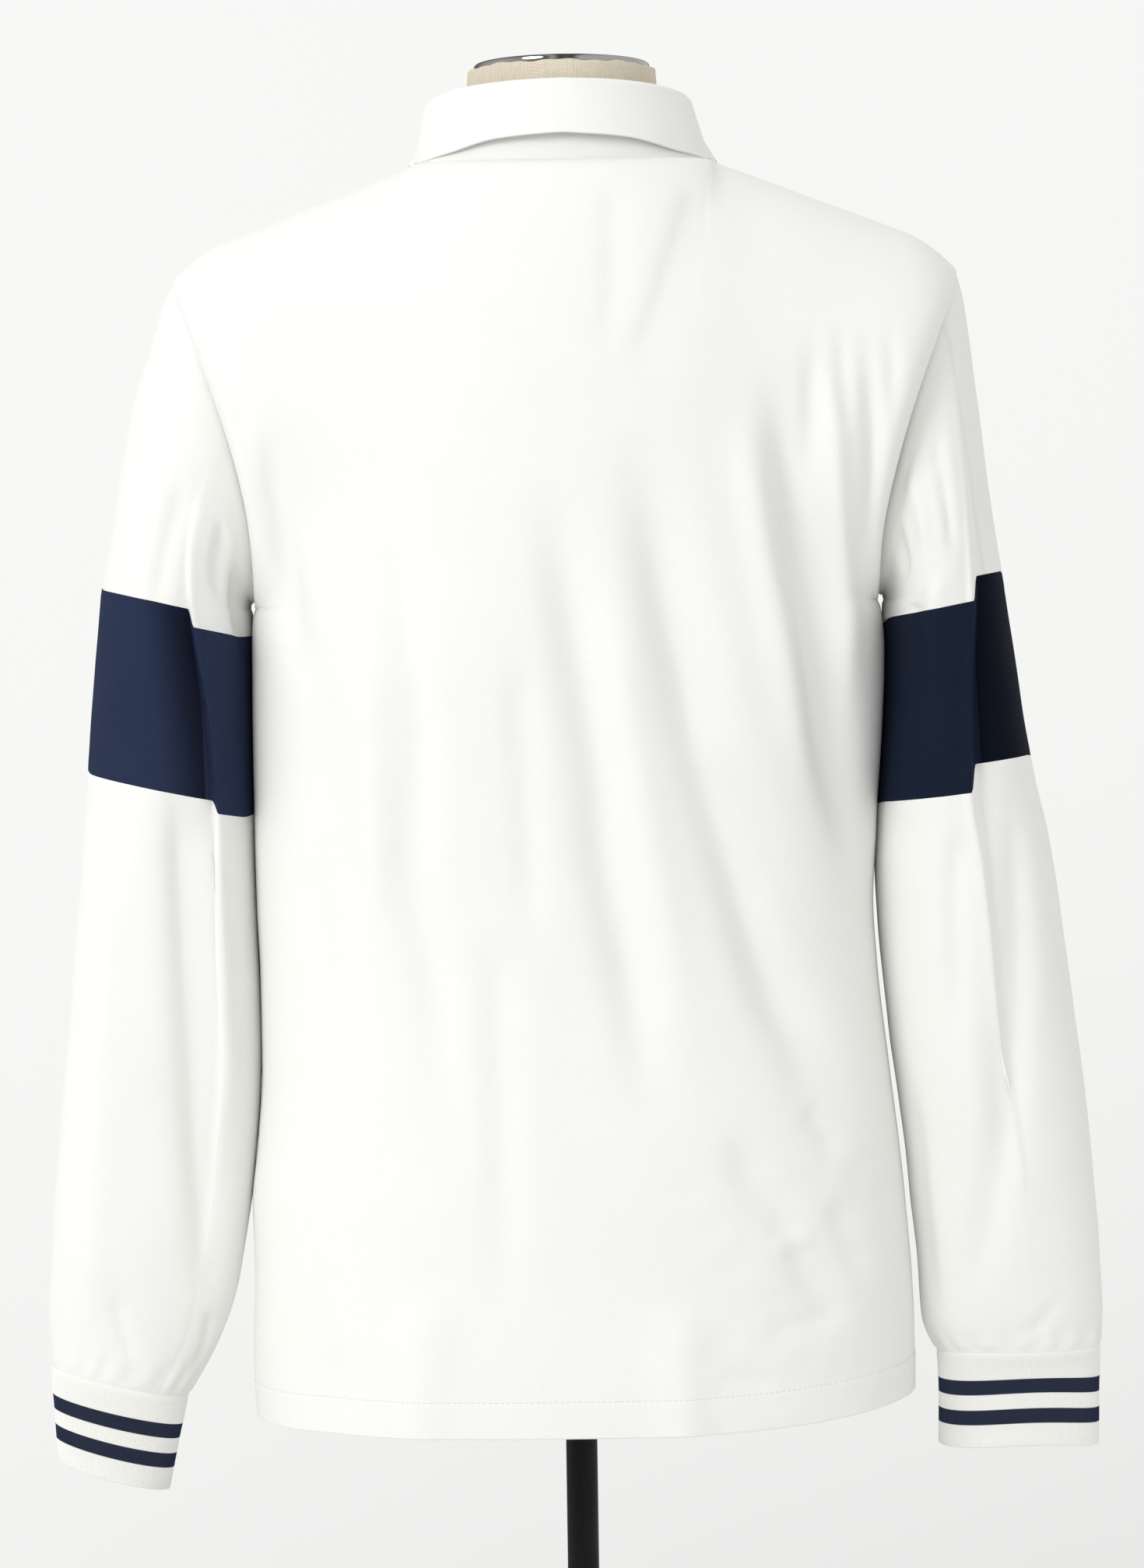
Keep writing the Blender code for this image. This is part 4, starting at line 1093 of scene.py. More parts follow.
@dataclass
class Finishes:
    """Every finish of the shirt and its form, built once."""

    white: bpy.types.Material = field(init=False)
    navy: dict = field(init=False)
    rib: bpy.types.Material = field(init=False)
    woven: bpy.types.Material = field(init=False)
    linen: bpy.types.Material = field(init=False)
    chrome: bpy.types.Material = field(init=False)
    steel: bpy.types.Material = field(init=False)
    pearl: bpy.types.Material = field(init=False)
    thread: bpy.types.Material = field(init=False)
    rib_pitch: float = 0.00092

    def __post_init__(self) -> None:
        """Build each finish."""
        white, cream = (0.885, 0.884, 0.868), (0.845, 0.842, 0.822)
        navy = (0.0130, 0.0195, 0.0420)
        self.white = Jersey("white_jersey", white, cream, 0.12, (1.0, 1.0, 0.98)).material()
        # The right sleeve's navy is a darker copy of the left's: painted shade for the sleeve
        # on the side away from the light.
        self.navy = {
            side: Jersey("navy_jersey_" + side.word, blue, deep, 0.03, (0.30, 0.40, 0.75),
                         specular=0.06, painted_shade=painted_shade).material()
            for side, blue, deep, painted_shade in (
                (Side.LEFT, (0.0240, 0.0350, 0.0790), (0.0160, 0.0235, 0.0530),
                 (0.1030, 0.18, 0.034)),
                (Side.RIGHT, (0.0115, 0.0190, 0.0400), (0.0060, 0.0095, 0.0200),
                 (0.0640, 0.15, 0.150)))}
        self.rib = RibKnit("white_rib", white, cream, navy, self.rib_pitch).material()
        self.woven = PlainWeave("collar_cotton", white, cream, 0.00048, 0.00006,
                                0.3).material()
        self.linen = PlainWeave("linen", (0.905, 0.850, 0.725), (0.440, 0.325, 0.195),
                                0.00098, 0.00030, 0.45).material()
        self.chrome = Metal("chrome", (0.42, 0.41, 0.39), 1.0, 0.10, 0.5).material()
        self.steel = Metal("black_steel", (0.0072, 0.0080, 0.0084), 0.0, 0.50,
                           0.14).material()
        self.pearl = Pearl("button", (0.80, 0.79, 0.76)).material()
        self.thread = Thread("thread", (0.86, 0.855, 0.83)).material()


# ---------------------------------------------------------------- the body's panels
@dataclass
class Panel:
    """One panel's outer grid with what its neighbours need to know."""

    points: Grid
    normals: Grid
    g: Grid                        # columns across, -1 to 1


@dataclass
class Body:
    """Back and front panels, sewn at the shoulders and sides, with a stitched hem."""

    finishes: Finishes
    hem_z: float = 0.3405
    hem_lift: float = 0.0105       # rise of the hem at the wearer's right side
    vent_top: float = 0.400
    vent_gap: float = 0.0022
    neck_z: float = 1.073
    neck_low: dict = field(default_factory=lambda: {
        Face.BACK: (0.074, 1.0690), Face.FRONT: (-0.083, 1.0340)})
    neck_power: dict = field(default_factory=lambda: {Face.BACK: 2.0, Face.FRONT: 3.5})
    shoulder_fall: float = 0.375
    round_from: float = 0.198
    shoulder_round: float = 0.0110
    section_power: float = 2.35
    slack: float = 0.030           # reach that evens out the cloth over the shoulders
    soft_join: float = 0.018       # reach that evens it out at the armholes' foot
    arm_depth: float = 0.0600
    arm_bow: dict = field(default_factory=lambda: {Side.LEFT: 0.0085, Side.RIGHT: 0.0065})
    arm_lean: dict = field(default_factory=lambda: {Side.LEFT: 0.0085, Side.RIGHT: 0.0085})
    hem_turn: float = 0.0205       # depth of the turned hem
    hem_rows: int = 26
    hem_share: float = 0.055       # part of the panel's height that has the finer hem rows
    arm_rows: int = 72
    rows: dict = field(default_factory=lambda: {Face.BACK: 112, Face.FRONT: 74})
    deeper: dict = field(default_factory=lambda: {Face.BACK: 2.05, Face.FRONT: 1.45})
    arch_from: tuple[float, float] = (5.0, 16.0)   # how sharply the armhole's edge bends
    neck_columns: int = 27
    side_columns: dict = field(default_factory=lambda: {Face.BACK: 58, Face.FRONT: 44})
    panels: dict = field(default_factory=dict)

    def column_fractions(self, face: Face) -> Grid:
        """Columns across a panel, -1 to 1: finer towards the sides."""
        places = np.array([(0, 0.0), (1, 0.25), (2, 0.48), (3, 0.68), (4, 0.85), (5, 0.96),
                           (6, 1.0)])
        neck = NECK_X / TIP_X
        inner = neck * ease(places, 1, np.linspace(0.0, 6.0, self.neck_columns + 1))
        count = self.side_columns[face]
        turn = 0.5 * math.pi * np.arange(1, count + 1) / count
        half = np.concatenate([inner, neck + (1.0 - neck) * np.sin(turn)])
        return np.concatenate([-half[:0:-1], half])

    def armhole(self, theta: Grid, side: Side, face: Face) -> tuple[Grid, Grid, Grid]:
        """Points of an armhole's edge: 0 = shoulder tip, pi = underarm."""
        ox, oz, ix, iz = SLEEVES[side][0, :4]
        c, s = np.cos(theta), np.sin(theta)
        bow = self.arm_bow[side] - self.arm_lean[side] * c
        x = 0.5 * (ox + ix) + 0.5 * (ox - ix) * c - bow * s * s
        z = 0.5 * (oz + iz) + 0.5 * (oz - iz) * c
        y = self.arm_depth * s * face.value + SHOULDER_Y * step(-1.0, 1.0, c)
        return x, y, z

    def shoulder_top(self, x: Grid, face: Face) -> tuple[Grid, Grid]:
        """y and z of the panel's top edge: shoulder seam, then neckline."""
        ax = np.abs(x)
        over = np.clip((ax - self.round_from) / (TIP_X - self.round_from), 0.0, 1.2)
        z_sh = self.neck_z - self.shoulder_fall * (ax - NECK_X)
        z_sh = z_sh - self.shoulder_round * over ** 2
        low_y, low_z = self.neck_low[face]
        run = np.sqrt(1.0 - np.clip(ax / NECK_X, 0.0, 1.0) ** 2)
        z_neck = self.neck_z - (self.neck_z - low_z) * run ** self.neck_power[face]
        y_neck = SHOULDER_Y + (low_y - SHOULDER_Y) * run
        inside = ax < NECK_X
        return np.where(inside, y_neck, SHOULDER_Y), np.where(inside, z_neck, z_sh)

    def base_grid(self, face: Face, g: Grid) -> tuple[Grid, int]:
        """The panel's smooth form without creases.

        Args:
            face: back or front.
            g: columns across, -1 to 1.

        Returns:
            The points, hem row first, and how many rows lie below the underarm.
        """
        side = face.value
        column = 3 if face is Face.BACK else 4
        hem = self.hem_z + self.hem_lift * np.clip(-g, 0.0, 1.0) ** 3
        fine = np.linspace(0.0, self.hem_share, self.hem_rows, endpoint=False)
        share = np.concatenate([fine, np.linspace(self.hem_share, 1.0,
                                                  self.rows[face] + 1)[:-1]])
        z = hem + (UNDER_Z - hem) * share[:, None]
        power = self.section_power
        bulge = (1.0 - np.abs(g) ** power) ** (1.0 / power)
        width = np.where(g >= 0.0, ease(BODY, 1, z), ease(BODY, 2, z))
        vent = self.vent_gap * (1.0 - step(self.hem_z, self.vent_top, z))
        low = np.stack([g * width, side * (ease(BODY, column, z) * bulge + 0.5 * SEAM + vent),
                        z], axis=-1)
        depth = float(ease(BODY, column, UNDER_Z))
        theta = math.pi * (1.0 - np.arange(self.arm_rows + 1) / self.arm_rows)[:, None]
        xl, yl, zl = self.armhole(theta, Side.LEFT, face)
        xr = self.armhole(theta, Side.RIGHT, face)[0]
        f = (zl - UNDER_Z) / (zl[-1] - UNDER_Z)
        x = g * np.where(g >= 0.0, xl, xr)
        y_top, z_top = self.shoulder_top(x, face)
        arc = np.cbrt(np.maximum(1.0 - f ** 3, 0.0))
        spread = np.abs(g) ** (self.arch_from[0] + self.arch_from[1] * (1.0 - f) ** 5)
        y = y_top + (side * depth * bulge - y_top) * arc
        y = y + (yl - SHOULDER_Y * (1.0 - arc)) * spread + side * 0.5 * SEAM
        y[-1] = y_top[-1] + side * 0.5 * SEAM
        z = UNDER_Z + (z_top - UNDER_Z) * f
        loose = (1.0 - step(0.86, 1.0, f)) * (1.0 - step(0.62, 0.80, np.abs(g)))
        y, z = (values + loose * (blurred(values, x, self.slack) - values)
                for values in (y, z))
        high = np.stack([x, y, z], axis=-1)
        whole = np.concatenate([low, high])
        up = whole[..., 2].T
        near = bell(up - UNDER_Z, 0.016) * (1.0 - step(0.95, 0.995, np.abs(g)))[:, None]
        depth = whole[..., 1].T
        depth = depth + near * (blurred(depth, up, self.soft_join) - depth)
        whole[..., 1] = depth.T
        return whole, len(share)

    def relief(self, face: Face, p: Grid, g: Grid) -> Grid:
        """Creases, seam dips, hem and small unevenness over a panel."""
        creases = BACK_CREASES if face is Face.BACK else FRONT_CREASES
        x, z = p[..., 0], p[..., 2]
        calm = 1.0 - 0.75 * step(0.90, 1.0, np.abs(g))[None, :]
        top_calm = 1.0 - step(1.035, 1.062, z)
        total = self.deeper[face] * creased(creases, x, z, (1.0, 1.0)) * calm * top_calm
        total += 0.0005 * crumple(p, 0.050, 3.0 + face.value) * calm * top_calm
        low_right = step(0.02, 0.10, -x) * (1.0 - step(0.46, 0.54, z)) * calm
        total += 0.0007 * crumple(p, 0.017, 7.0) * low_right * (face is Face.BACK)
        run = lengths(p, 1)
        edge = np.minimum(run, run[:, -1:] - run)
        sewn = step(self.vent_top - 0.004, self.vent_top + 0.004, z)
        beside_arm = step(0.52, 0.60, z) * (1.0 - step(0.76, 0.812, z))
        total -= 0.00035 * dip(edge) * sewn * (1.0 - beside_arm)
        total += 0.00016 * swell(edge) * sewn
        up = lengths(p, 0)
        from_top = up[-1:] - up
        total -= 0.00040 * dip(from_top)
        total += 0.00014 * swell(from_top)
        total += 0.00045 * (1.0 - step(self.hem_turn - 0.0012, self.hem_turn + 0.0030, up))
        total -= 0.00040 * bell(up - self.hem_turn, 0.0009)
        return total

    def grid(self, face: Face) -> Panel:
        """The creased outer grid of a panel, with edge normals shared at its seams."""
        g = self.column_fractions(face)
        p, body_rows = self.base_grid(face, g)
        way = -face.value
        p = p + grid_normals(p, False, way) * self.relief(face, p, g)[..., None]
        for side in Side:
            near = step(0.72, 1.0, side.value * g)
            p[..., 0] += side.value * near * ease(CLOSER[side], 1, p[..., 2])
        normals = grid_normals(p, False, way)
        for c in (0, -1):
            normals[:body_rows, c] = self.seam_normals(normals[:body_rows, c])
        seam = np.abs(g) * TIP_X >= NECK_X - 1e-6
        normals[-1, seam] = self.seam_normals(normals[-1])[seam]
        return Panel(p, normals, g)

    @staticmethod
    def seam_normals(normals: Grid) -> Grid:
        """Normals that both panels share at a seam, with nothing along Y."""
        return unit(normals * np.array([1.0, 0.0, 1.0]))

    def cut_layout(self, panel: Panel) -> tuple[Grid, Grid]:
        """Across and along the cut cloth, in metres, for each point of a panel."""
        run = lengths(panel.points, 1)
        middle = panel.points.shape[1] // 2
        up = lengths(panel.points, 0)[:, middle:middle + 1]
        return run - run[:, middle:middle + 1], up + 0.0 * run

    def stitch_hem(self, face: Face, panel: Panel) -> bpy.types.Object:
        """The row of stitches that holds the turned hem."""
        up = lengths(panel.points, 0)
        cols = range(2, panel.points.shape[1] - 2)
        line = np.array([read_at(self.hem_turn, up[:, c], panel.points[:, c])
                         for c in cols])
        row = int(np.searchsorted(up[:, 0], self.hem_turn))
        normals = panel.normals[row, 2:-2]
        return stitch_row(face.name.lower() + "_hem_stitches", line, normals,
                          self.finishes.thread)

    def build(self) -> None:
        """Build both panels and their hems' stitches."""
        for face in Face:
            panel = self.grid(face)
            self.panels[face] = panel
            u, v = self.cut_layout(panel)
            word = face.name.lower() + "_panel"
            shell = Shell(panel.points, panel.points - CLOTH * panel.normals, False,
                          face is Face.BACK, u, v)
            piece = shell.piece(word + "_cloth", self.finishes.white, word, "jersey")
            stitches = self.stitch_hem(face, panel)

    def cloth_tree(self) -> BVHTree:
        """Both panels' outer faces, for finding the cloth under the collar."""
        points, faces = [], []
        for panel in self.panels.values():
            rows = panel.points[-60:]
            ids = len(points) + np.arange(rows.shape[0] * rows.shape[1]).reshape(rows.shape[:2])
            points.extend(rows.reshape(-1, 3).tolist())
            faces.extend(quads(ids).tolist())
        return BVHTree.FromPolygons(points, faces)

    def armhole_ring(self, side: Side, theta: Grid) -> tuple[Grid, Grid]:
        """Points and normals round an armhole's edge at given angles.

        Args:
            side: left or right.
            theta: angles from the shoulder tip by way of the back.

        Returns:
            The points and their unit normals.
        """
        column = -1 if side is Side.LEFT else 0
        n = self.arm_rows
        back, front = self.panels[Face.BACK], self.panels[Face.FRONT]
        rings = []
        for a, b in ((back.points, front.points), (back.normals, front.normals)):
            one, two = a[-n - 1:, column], b[-n - 1:, column]
            rings.append(np.concatenate([[0.5 * (one[-1] + two[-1])], one[-2:0:-1],
                                         [0.5 * (one[0] + two[0])], two[1:-1],
                                         [0.5 * (one[-1] + two[-1])]]))
        even = np.linspace(0.0, 2.0 * math.pi, 2 * n + 1)
        points, normals = (read_at(theta, even, ring) for ring in rings)
        return points, unit(normals)

    def neck_path(self) -> Grid:
        """The neckline: front centre, right shoulder, back centre, left, front centre."""
        tops = {}
        for face, panel in self.panels.items():
            keep = np.abs(panel.g) * TIP_X <= NECK_X + 1e-6
            tops[face] = panel.points[-1][keep].copy()
        back, front = tops[Face.BACK], tops[Face.FRONT]
        half = len(front) // 2
        first, last = front[:half + 1][::-1], front[half:][::-1]
        back[0] = 0.5 * (back[0] + first[-1])
        back[-1] = 0.5 * (back[-1] + last[0])
        return np.concatenate([first[:-1], back, last[1:]])


# ---------------------------------------------------------------- sleeves
@dataclass
class Sleeve:
    """One sleeve: white upper, navy band, white lower and a ribbed cuff."""

    side: Side
    body: Body
    finishes: Finishes
    columns: int = 184
    upper_rows: int = 70
    band_rows: int = 30
    lower_rows: int = 92
    rib_wall: float = 0.0020
    deeper: float = 1.30           # how much deeper the creases are than in their tables
    rib_relief: float = 0.00020
    rib_points: int = 6
    cuff_height: float = 0.0549
    cuff_keys: tuple[float, ...] = (0.0, 0.06, 0.15, 0.3, 0.5, 0.7, 0.95, 1.2, 1.45, 1.7,
                                    1.88, 2.0)     # ring numbers of the cuff's rows

    def angles(self) -> Grid:
        """Angles round the sleeve, closer together on its back where the pleat runs."""
        dense = np.linspace(0.0, 2.0 * math.pi, 2000)
        weight = 1.0 + 1.6 * step(0.55, 0.80, dense) * (1.0 - step(2.40, 2.65, dense))
        run = np.concatenate([[0.0], np.cumsum(0.5 * (weight[1:] + weight[:-1]))])
        at = np.arange(self.columns) / self.columns * run[-1]
        return np.interp(at, run, dense)

    def ring(self, rows: Grid, s: float, theta: Grid, pleated: bool) -> Grid:
        """Points of an oval ring of the sleeve or cuff at a ring number."""
        table = np.column_stack([np.arange(len(rows), dtype=float), rows])
        ox, oz, ix, iz, half, mid = (float(ease(table, k, s)) for k in range(1, 7))
        c, d = np.cos(theta), np.sin(theta)
        x = 0.5 * (ox + ix) + 0.5 * (ox - ix) * c
        z = 0.5 * (oz + iz) + 0.5 * (oz - iz) * c
        y = mid + half * d
        if pleated:
            table = PLEATS[self.side]
            at, ride, deep = (float(ease(table, k, s)) for k in (1, 2, 3))
            on_back = step(0.05, 0.45, d)
            off = c - at
            past = step(-0.045, 0.035, off)
            z = z + on_back * ride * (past - 0.5 - 0.5 * off)
            y = y - on_back * deep * past * np.exp(-np.clip(off, 0.0, 2.0) / 0.35)
            y = y + on_back * deep * 0.35 * bell(off + 0.07, 0.075)
        return np.column_stack([self.side.value * x, y, z])

    def tube(self, theta: Grid) -> tuple[Grid, Grid, Grid]:
        """The whole sleeve's outer grid.

        Args:
            theta: angles of the columns.

        Returns:
            The points, their normals and the ring number of each row.
        """
        rings = np.concatenate([
            np.linspace(0.0, BAND_RING, self.upper_rows + 1),
            np.linspace(BAND_RING, LOWER_RING, self.band_rows + 1)[1:],
            np.linspace(LOWER_RING, CUFF_RING, self.lower_rows + 1)[1:]])
        start, start_normals = self.body.armhole_ring(self.side, theta)
        around = unit(np.roll(start, -1, axis=0) - np.roll(start, 1, axis=0))
        out = unit(np.cross(around, start_normals))
        rows = SLEEVES[self.side]
        if np.sum(out * (self.ring(rows, 3.0, theta, False) - start)) < 0.0:
            out = -out
        shift = start + out * SEAM - self.ring(rows, 0.0, theta, False)
        p = np.array([self.ring(rows, s, theta, True) + shift * (1.0 - step(0.0, 4.0, s))
                      for s in rings])
        normals = grid_normals(p, True, -self.side.value)
        p = p + normals * self.relief(p, theta, rings)[..., None]
        inner = np.clip(-np.cos(theta), 0.0, 1.0) ** 1.5
        p[..., 0] -= self.side.value * inner * ease(CLOSER[self.side], 2, p[..., 2])
        normals = grid_normals(p, True, -self.side.value)
        normals[0] = start_normals
        return p, normals, rings

    def relief(self, p: Grid, theta: Grid, rings: Grid) -> Grid:
        """Creases, seam dips and small unevenness over the sleeve."""
        degrees = np.degrees(theta)[None, :] + np.zeros((len(rings), 1))
        at = rings[:, None] + 0.0 * degrees
        round_scale = math.radians(1.0) * 0.062
        total = self.deeper * creased(SLEEVE_CREASES[self.side], degrees, at,
                                      (round_scale, 0.050))
        total += 0.0005 * crumple(p, 0.034, 11.0 + self.side.value) * step(0.3, 1.5, at)
        run = lengths(p, 0)
        for ring, deep in ((0.0, 0.00045), (BAND_RING, 0.00030), (LOWER_RING, 0.00030),
                           (CUFF_RING, 0.00045)):
            row = int(np.argmin(np.abs(rings - ring)))
            off = np.abs(run - run[row])
            total -= deep * dip(off) * (off > 1e-9)
            total += 0.4 * deep * swell(off) * step(-0.5, 0.2, at - ring + 0.5)
        underarm = np.abs(degrees - 180.0) * math.radians(1.0) * 0.06
        total -= 0.00040 * bell(underarm, 0.0018) * step(0.2, 0.8, at) * step(8.0, 9.0, at)
        gather = np.sin(np.radians(degrees) * 17.0 + 0.8 * np.sin(np.radians(degrees) * 5.0))
        total += 0.00055 * gather * step(13.1, 13.8, at) * (1.0 - step(13.8, 14.0, at))
        return total

    def layout(self, p: Grid) -> tuple[Grid, Grid]:
        """Round and along the cut cloth, in metres, one column more than the grid."""
        u = lengths(joined(p), 1)[len(p) // 2][None, :] + np.zeros((len(p), 1))
        along = lengths(p, 0).mean(axis=1)[:, None]
        return u, along + 0.0 * u

    def build_tube(self, word: str, p: Grid, normals: Grid, slot: str,
                   material: bpy.types.Material) -> None:
        """One tube of cloth as a shell that replaces its solid.

        Args:
            word: the piece's word in the solids' names.
            p: its outer grid.
            normals: the grid's normals.
            slot: passed on to the shell, which does not use it.
            material: its finish.
        """
        u, v = self.layout(p)
        shell = Shell(p, p - CLOTH * normals, True, self.side is Side.LEFT, u, v)
        node = "%s_sleeve_%s" % (self.side.word, word)
        piece = shell.piece(node + "_cloth", material, node, slot)

    def build(self) -> None:
        """Build the sleeve's three tubes and its cuff."""
        theta = self.angles()
        p, normals, rings = self.tube(theta)
        one, two = self.upper_rows, self.upper_rows + self.band_rows
        gap = 0.5 * SEAM * unit(np.gradient(p, axis=0))
        upper, band, lower = p[:one + 1].copy(), p[one:two + 1].copy(), p[two:].copy()
        upper[-1] -= gap[one]
        band[0] += gap[one]
        band[-1] -= gap[two]
        lower[0] += gap[two]
        white, navy = self.finishes.white, self.finishes.navy[self.side]
        self.build_tube("upper", upper, normals[:one + 1], "jersey", white)
        self.build_tube("band", band, normals[one:two + 1], "navy_jersey", navy)
        self.build_tube("lower", lower, normals[two:], "jersey", white)
        self.build_cuff(p[-1], normals[-1], theta)

    def build_cuff(self, start: Grid, start_normals: Grid, theta: Grid) -> None:
        """The ribbed cuff, its ribs raised in the outer face.

        Args:
            start: the sleeve's last ring.
            start_normals: that ring's normals.
            theta: the angles of its columns.
        """
        rows = CUFFS[self.side]
        dense = np.linspace(0.0, 2.0 * math.pi, 4001)
        middle = self.ring(rows, 1.0, dense, False)
        run = lengths(middle, 0)
        ribs = int(round(run[-1] / self.finishes.rib_pitch))
        count = ribs * self.rib_points
        angles = np.interp(np.arange(count) / count * run[-1], run, dense)
        full = np.append(theta, 2.0 * math.pi)
        first, first_normals = (read_at(angles, full, np.concatenate([a, a[:1]]))
                                for a in (start, start_normals))
        keys = np.array(self.cuff_keys)
        grid = np.array([self.ring(rows, s, angles, False) for s in keys])
        shift = first - grid[0]
        grid = grid + shift[None] * (1.0 - step(0.0, 0.35, keys))[:, None, None]
        down = unit(np.gradient(grid, axis=0))
        wave = 0.0009 * np.sin(3.0 * angles + 0.6) * (self.side is Side.RIGHT)
        grid[1:] += down[1:] * wave[None, :, None] * step(0.0, 0.8, keys)[1:, None, None]
        grid[0] += down[0] * SEAM
        normals = grid_normals(grid, True, -self.side.value)
        normals[0] = unit(first_normals)
        swell = 0.0007 * bell(keys - 0.35, 0.3)[:, None] - 0.0003 * bell(keys, 0.05)[:, None]
        outer = grid + normals * swell[..., None]
        rib = np.cos(np.arange(count) * 2.0 * math.pi / self.rib_points)[None, :]
        fade = (step(0.0, 0.12, keys) * (1.0 - 0.6 * step(1.9, 2.0, keys)))[:, None]
        outer = outer + normals * (self.rib_relief * (rib - 1.0) * fade)[..., None]
        inner = grid - normals * self.rib_wall
        u = (np.arange(count + 1) / self.rib_points * self.finishes.rib_pitch)[None, :]
        v = lengths(grid, 0).mean(axis=1)[:, None]
        v = v / v[-1] * self.cuff_height
        shell = Shell(outer, inner, True, self.side is Side.LEFT, u + 0.0 * v, v + 0.0 * u)
        node = self.side.word + "_cuff"
        piece = shell.piece(node + "_rib", self.finishes.rib, node, "rib")


# ---------------------------------------------------------------- collar
@dataclass
class Collar:
    """A woven collar that turns down: stand, fold and leaf in one bent strip."""

    body: Body
    finishes: Finishes
    wall: float = 0.0014
    stations: int = 281
    end: float = 1.97
    spread: float = 0.26          # how far the front points swing outwards, radians
    clear_behind: float = 0.0022  # leaf edge above the cloth it lies on
    clear_before: float = 0.0062
    profile_rows: int = 54
    tuck: float = 0.0026          # the leaf lies closer to the stand behind
    left_swell: float = 0.0040    # the fold bows out on the wearer's left
    draw: float = 0.0024          # the leaf's edge lies closer in at the neck's sides
    stitch_in: float = 0.0058     # edge stitching's distance from the leaf's edge
    even_from: int = 24           # rows from here on are evened out along the collar
    leaf_from: tuple[float, float] = (26.0, 30.0)     # rows where the leaf's seams start
    ripple_from: tuple[float, float] = (20.0, 40.0)   # rows where it starts to ripple

    def cloth_height(self, tree: BVHTree, x: float, y: float) -> float:
        """Height of the cloth under a point, or far below where there is none."""
        hit = tree.ray_cast(Vector((x, y, 1.30)), Vector((0.0, 0.0, -1.0)))[0]
        return hit.z if hit is not None else 0.0

    def centre_grid(self) -> Grid:
        """The strip's middle surface, [stations, profile rows, 3]."""
        path = self.body.neck_path()
        tree = self.body.cloth_tree()
        turn = np.linspace(-2.0, 2.0, len(path))
        at = np.linspace(-self.end, self.end, self.stations)
        foot = read_at(at, turn, path)
        away = np.column_stack([np.sin(at * math.pi / 2.0), np.cos(at * math.pi / 2.0)])
        plan = unit(unit(foot[:, :2]) + away)
        edge = unit(np.gradient(foot, axis=0))
        up = np.column_stack([-0.50 * plan, np.full(len(at), 0.85)])
        up = unit(up - edge * np.sum(up * edge, axis=1, keepdims=True))
        foot_normal = unit(np.cross(up, edge))
        base = foot - foot_normal * 0.5 * CLOTH + up * SEAM
        second = base + up * 0.0016
        fold_r, fold_z, leaf_r, leaf_z = (ease(COLLAR, k, np.abs(at)) for k in (1, 2, 3, 4))
        leaf_r = leaf_r - self.tuck * (1.0 - step(0.2, 0.9, np.abs(at)))
        leaf_r = leaf_r - self.draw * bell(np.abs(at) - 0.95, 0.45)
        fold_r = fold_r + self.left_swell * bell(at - 0.95, 0.35)
        rows = []
        for k in range(len(at)):
            lean = self.spread * float(step(1.0, self.end, abs(at[k]))) * np.sign(at[k])
            rows.append(self.profile(tree, base[k], second[k], plan[k], lean, fold_r[k],
                                     fold_z[k], leaf_r[k], leaf_z[k]))
        return np.array(rows)

    def profile(self, tree: BVHTree, base: Grid, second: Grid, plan: Grid, lean: float,
                rf: float, zf: float, rl: float, zl: float) -> Grid:
        """One section of the collar from its foot over the fold to the leaf's edge.

        Args:
            tree: the cloth it lies on.
            base: its foot on the neckline.
            second: a point just above the foot.
            plan: the section's outward direction in plan.
            lean: how far the leaf swings round towards its point, radians.
            rf: radius of the fold.
            zf: height of the fold.
            rl: radius of the leaf's edge.
            zl: height of the leaf's edge.

        Returns:
            The section's points, [profile_rows, 3].
        """
        way = turned_by(plan, lean) * rl
        zl = self.lifted(tree, way, zl)
        r0, z0 = float(np.dot(second[:2], plan)), second[2]
        top = zf - 0.0060
        line = (
            (0.55 * r0 + 0.45 * (rf - 0.0030), 0.55 * z0 + 0.45 * zf),
            (rf - 0.0032, top),
            (rf - 0.0018, zf - 0.0014),
            (rf + 0.0006, zf),
            (rf + 0.0028, zf - 0.0018),
            (rf + 0.0040, top),
            (0.60 * (rf + 0.0045) + 0.40 * rl, 0.55 * top + 0.45 * zl),
            (0.28 * (rf + 0.0045) + 0.72 * rl, 0.25 * top + 0.75 * zl),
            (rl, zl),
        )
        points = [base, second]
        for j, (r, z) in enumerate(line):
            drop = max(0.0, (zf - z) / (zf - zl)) if j > 4 else 0.0
            way = turned_by(plan, lean * drop) * r
            if j > 4:
                z = self.lifted(tree, way, z)
            points.append(np.array([way[0], way[1], z]))
        return smooth_run(np.array(points), self.profile_rows)

    def lifted(self, tree: BVHTree, way: Grid, z: float) -> float:
        """A leaf point's height, raised where the panels would touch it."""
        clear = self.clear_behind if way[1] > -0.02 else self.clear_before
        return max(z, self.cloth_height(tree, way[0], way[1]) + clear)

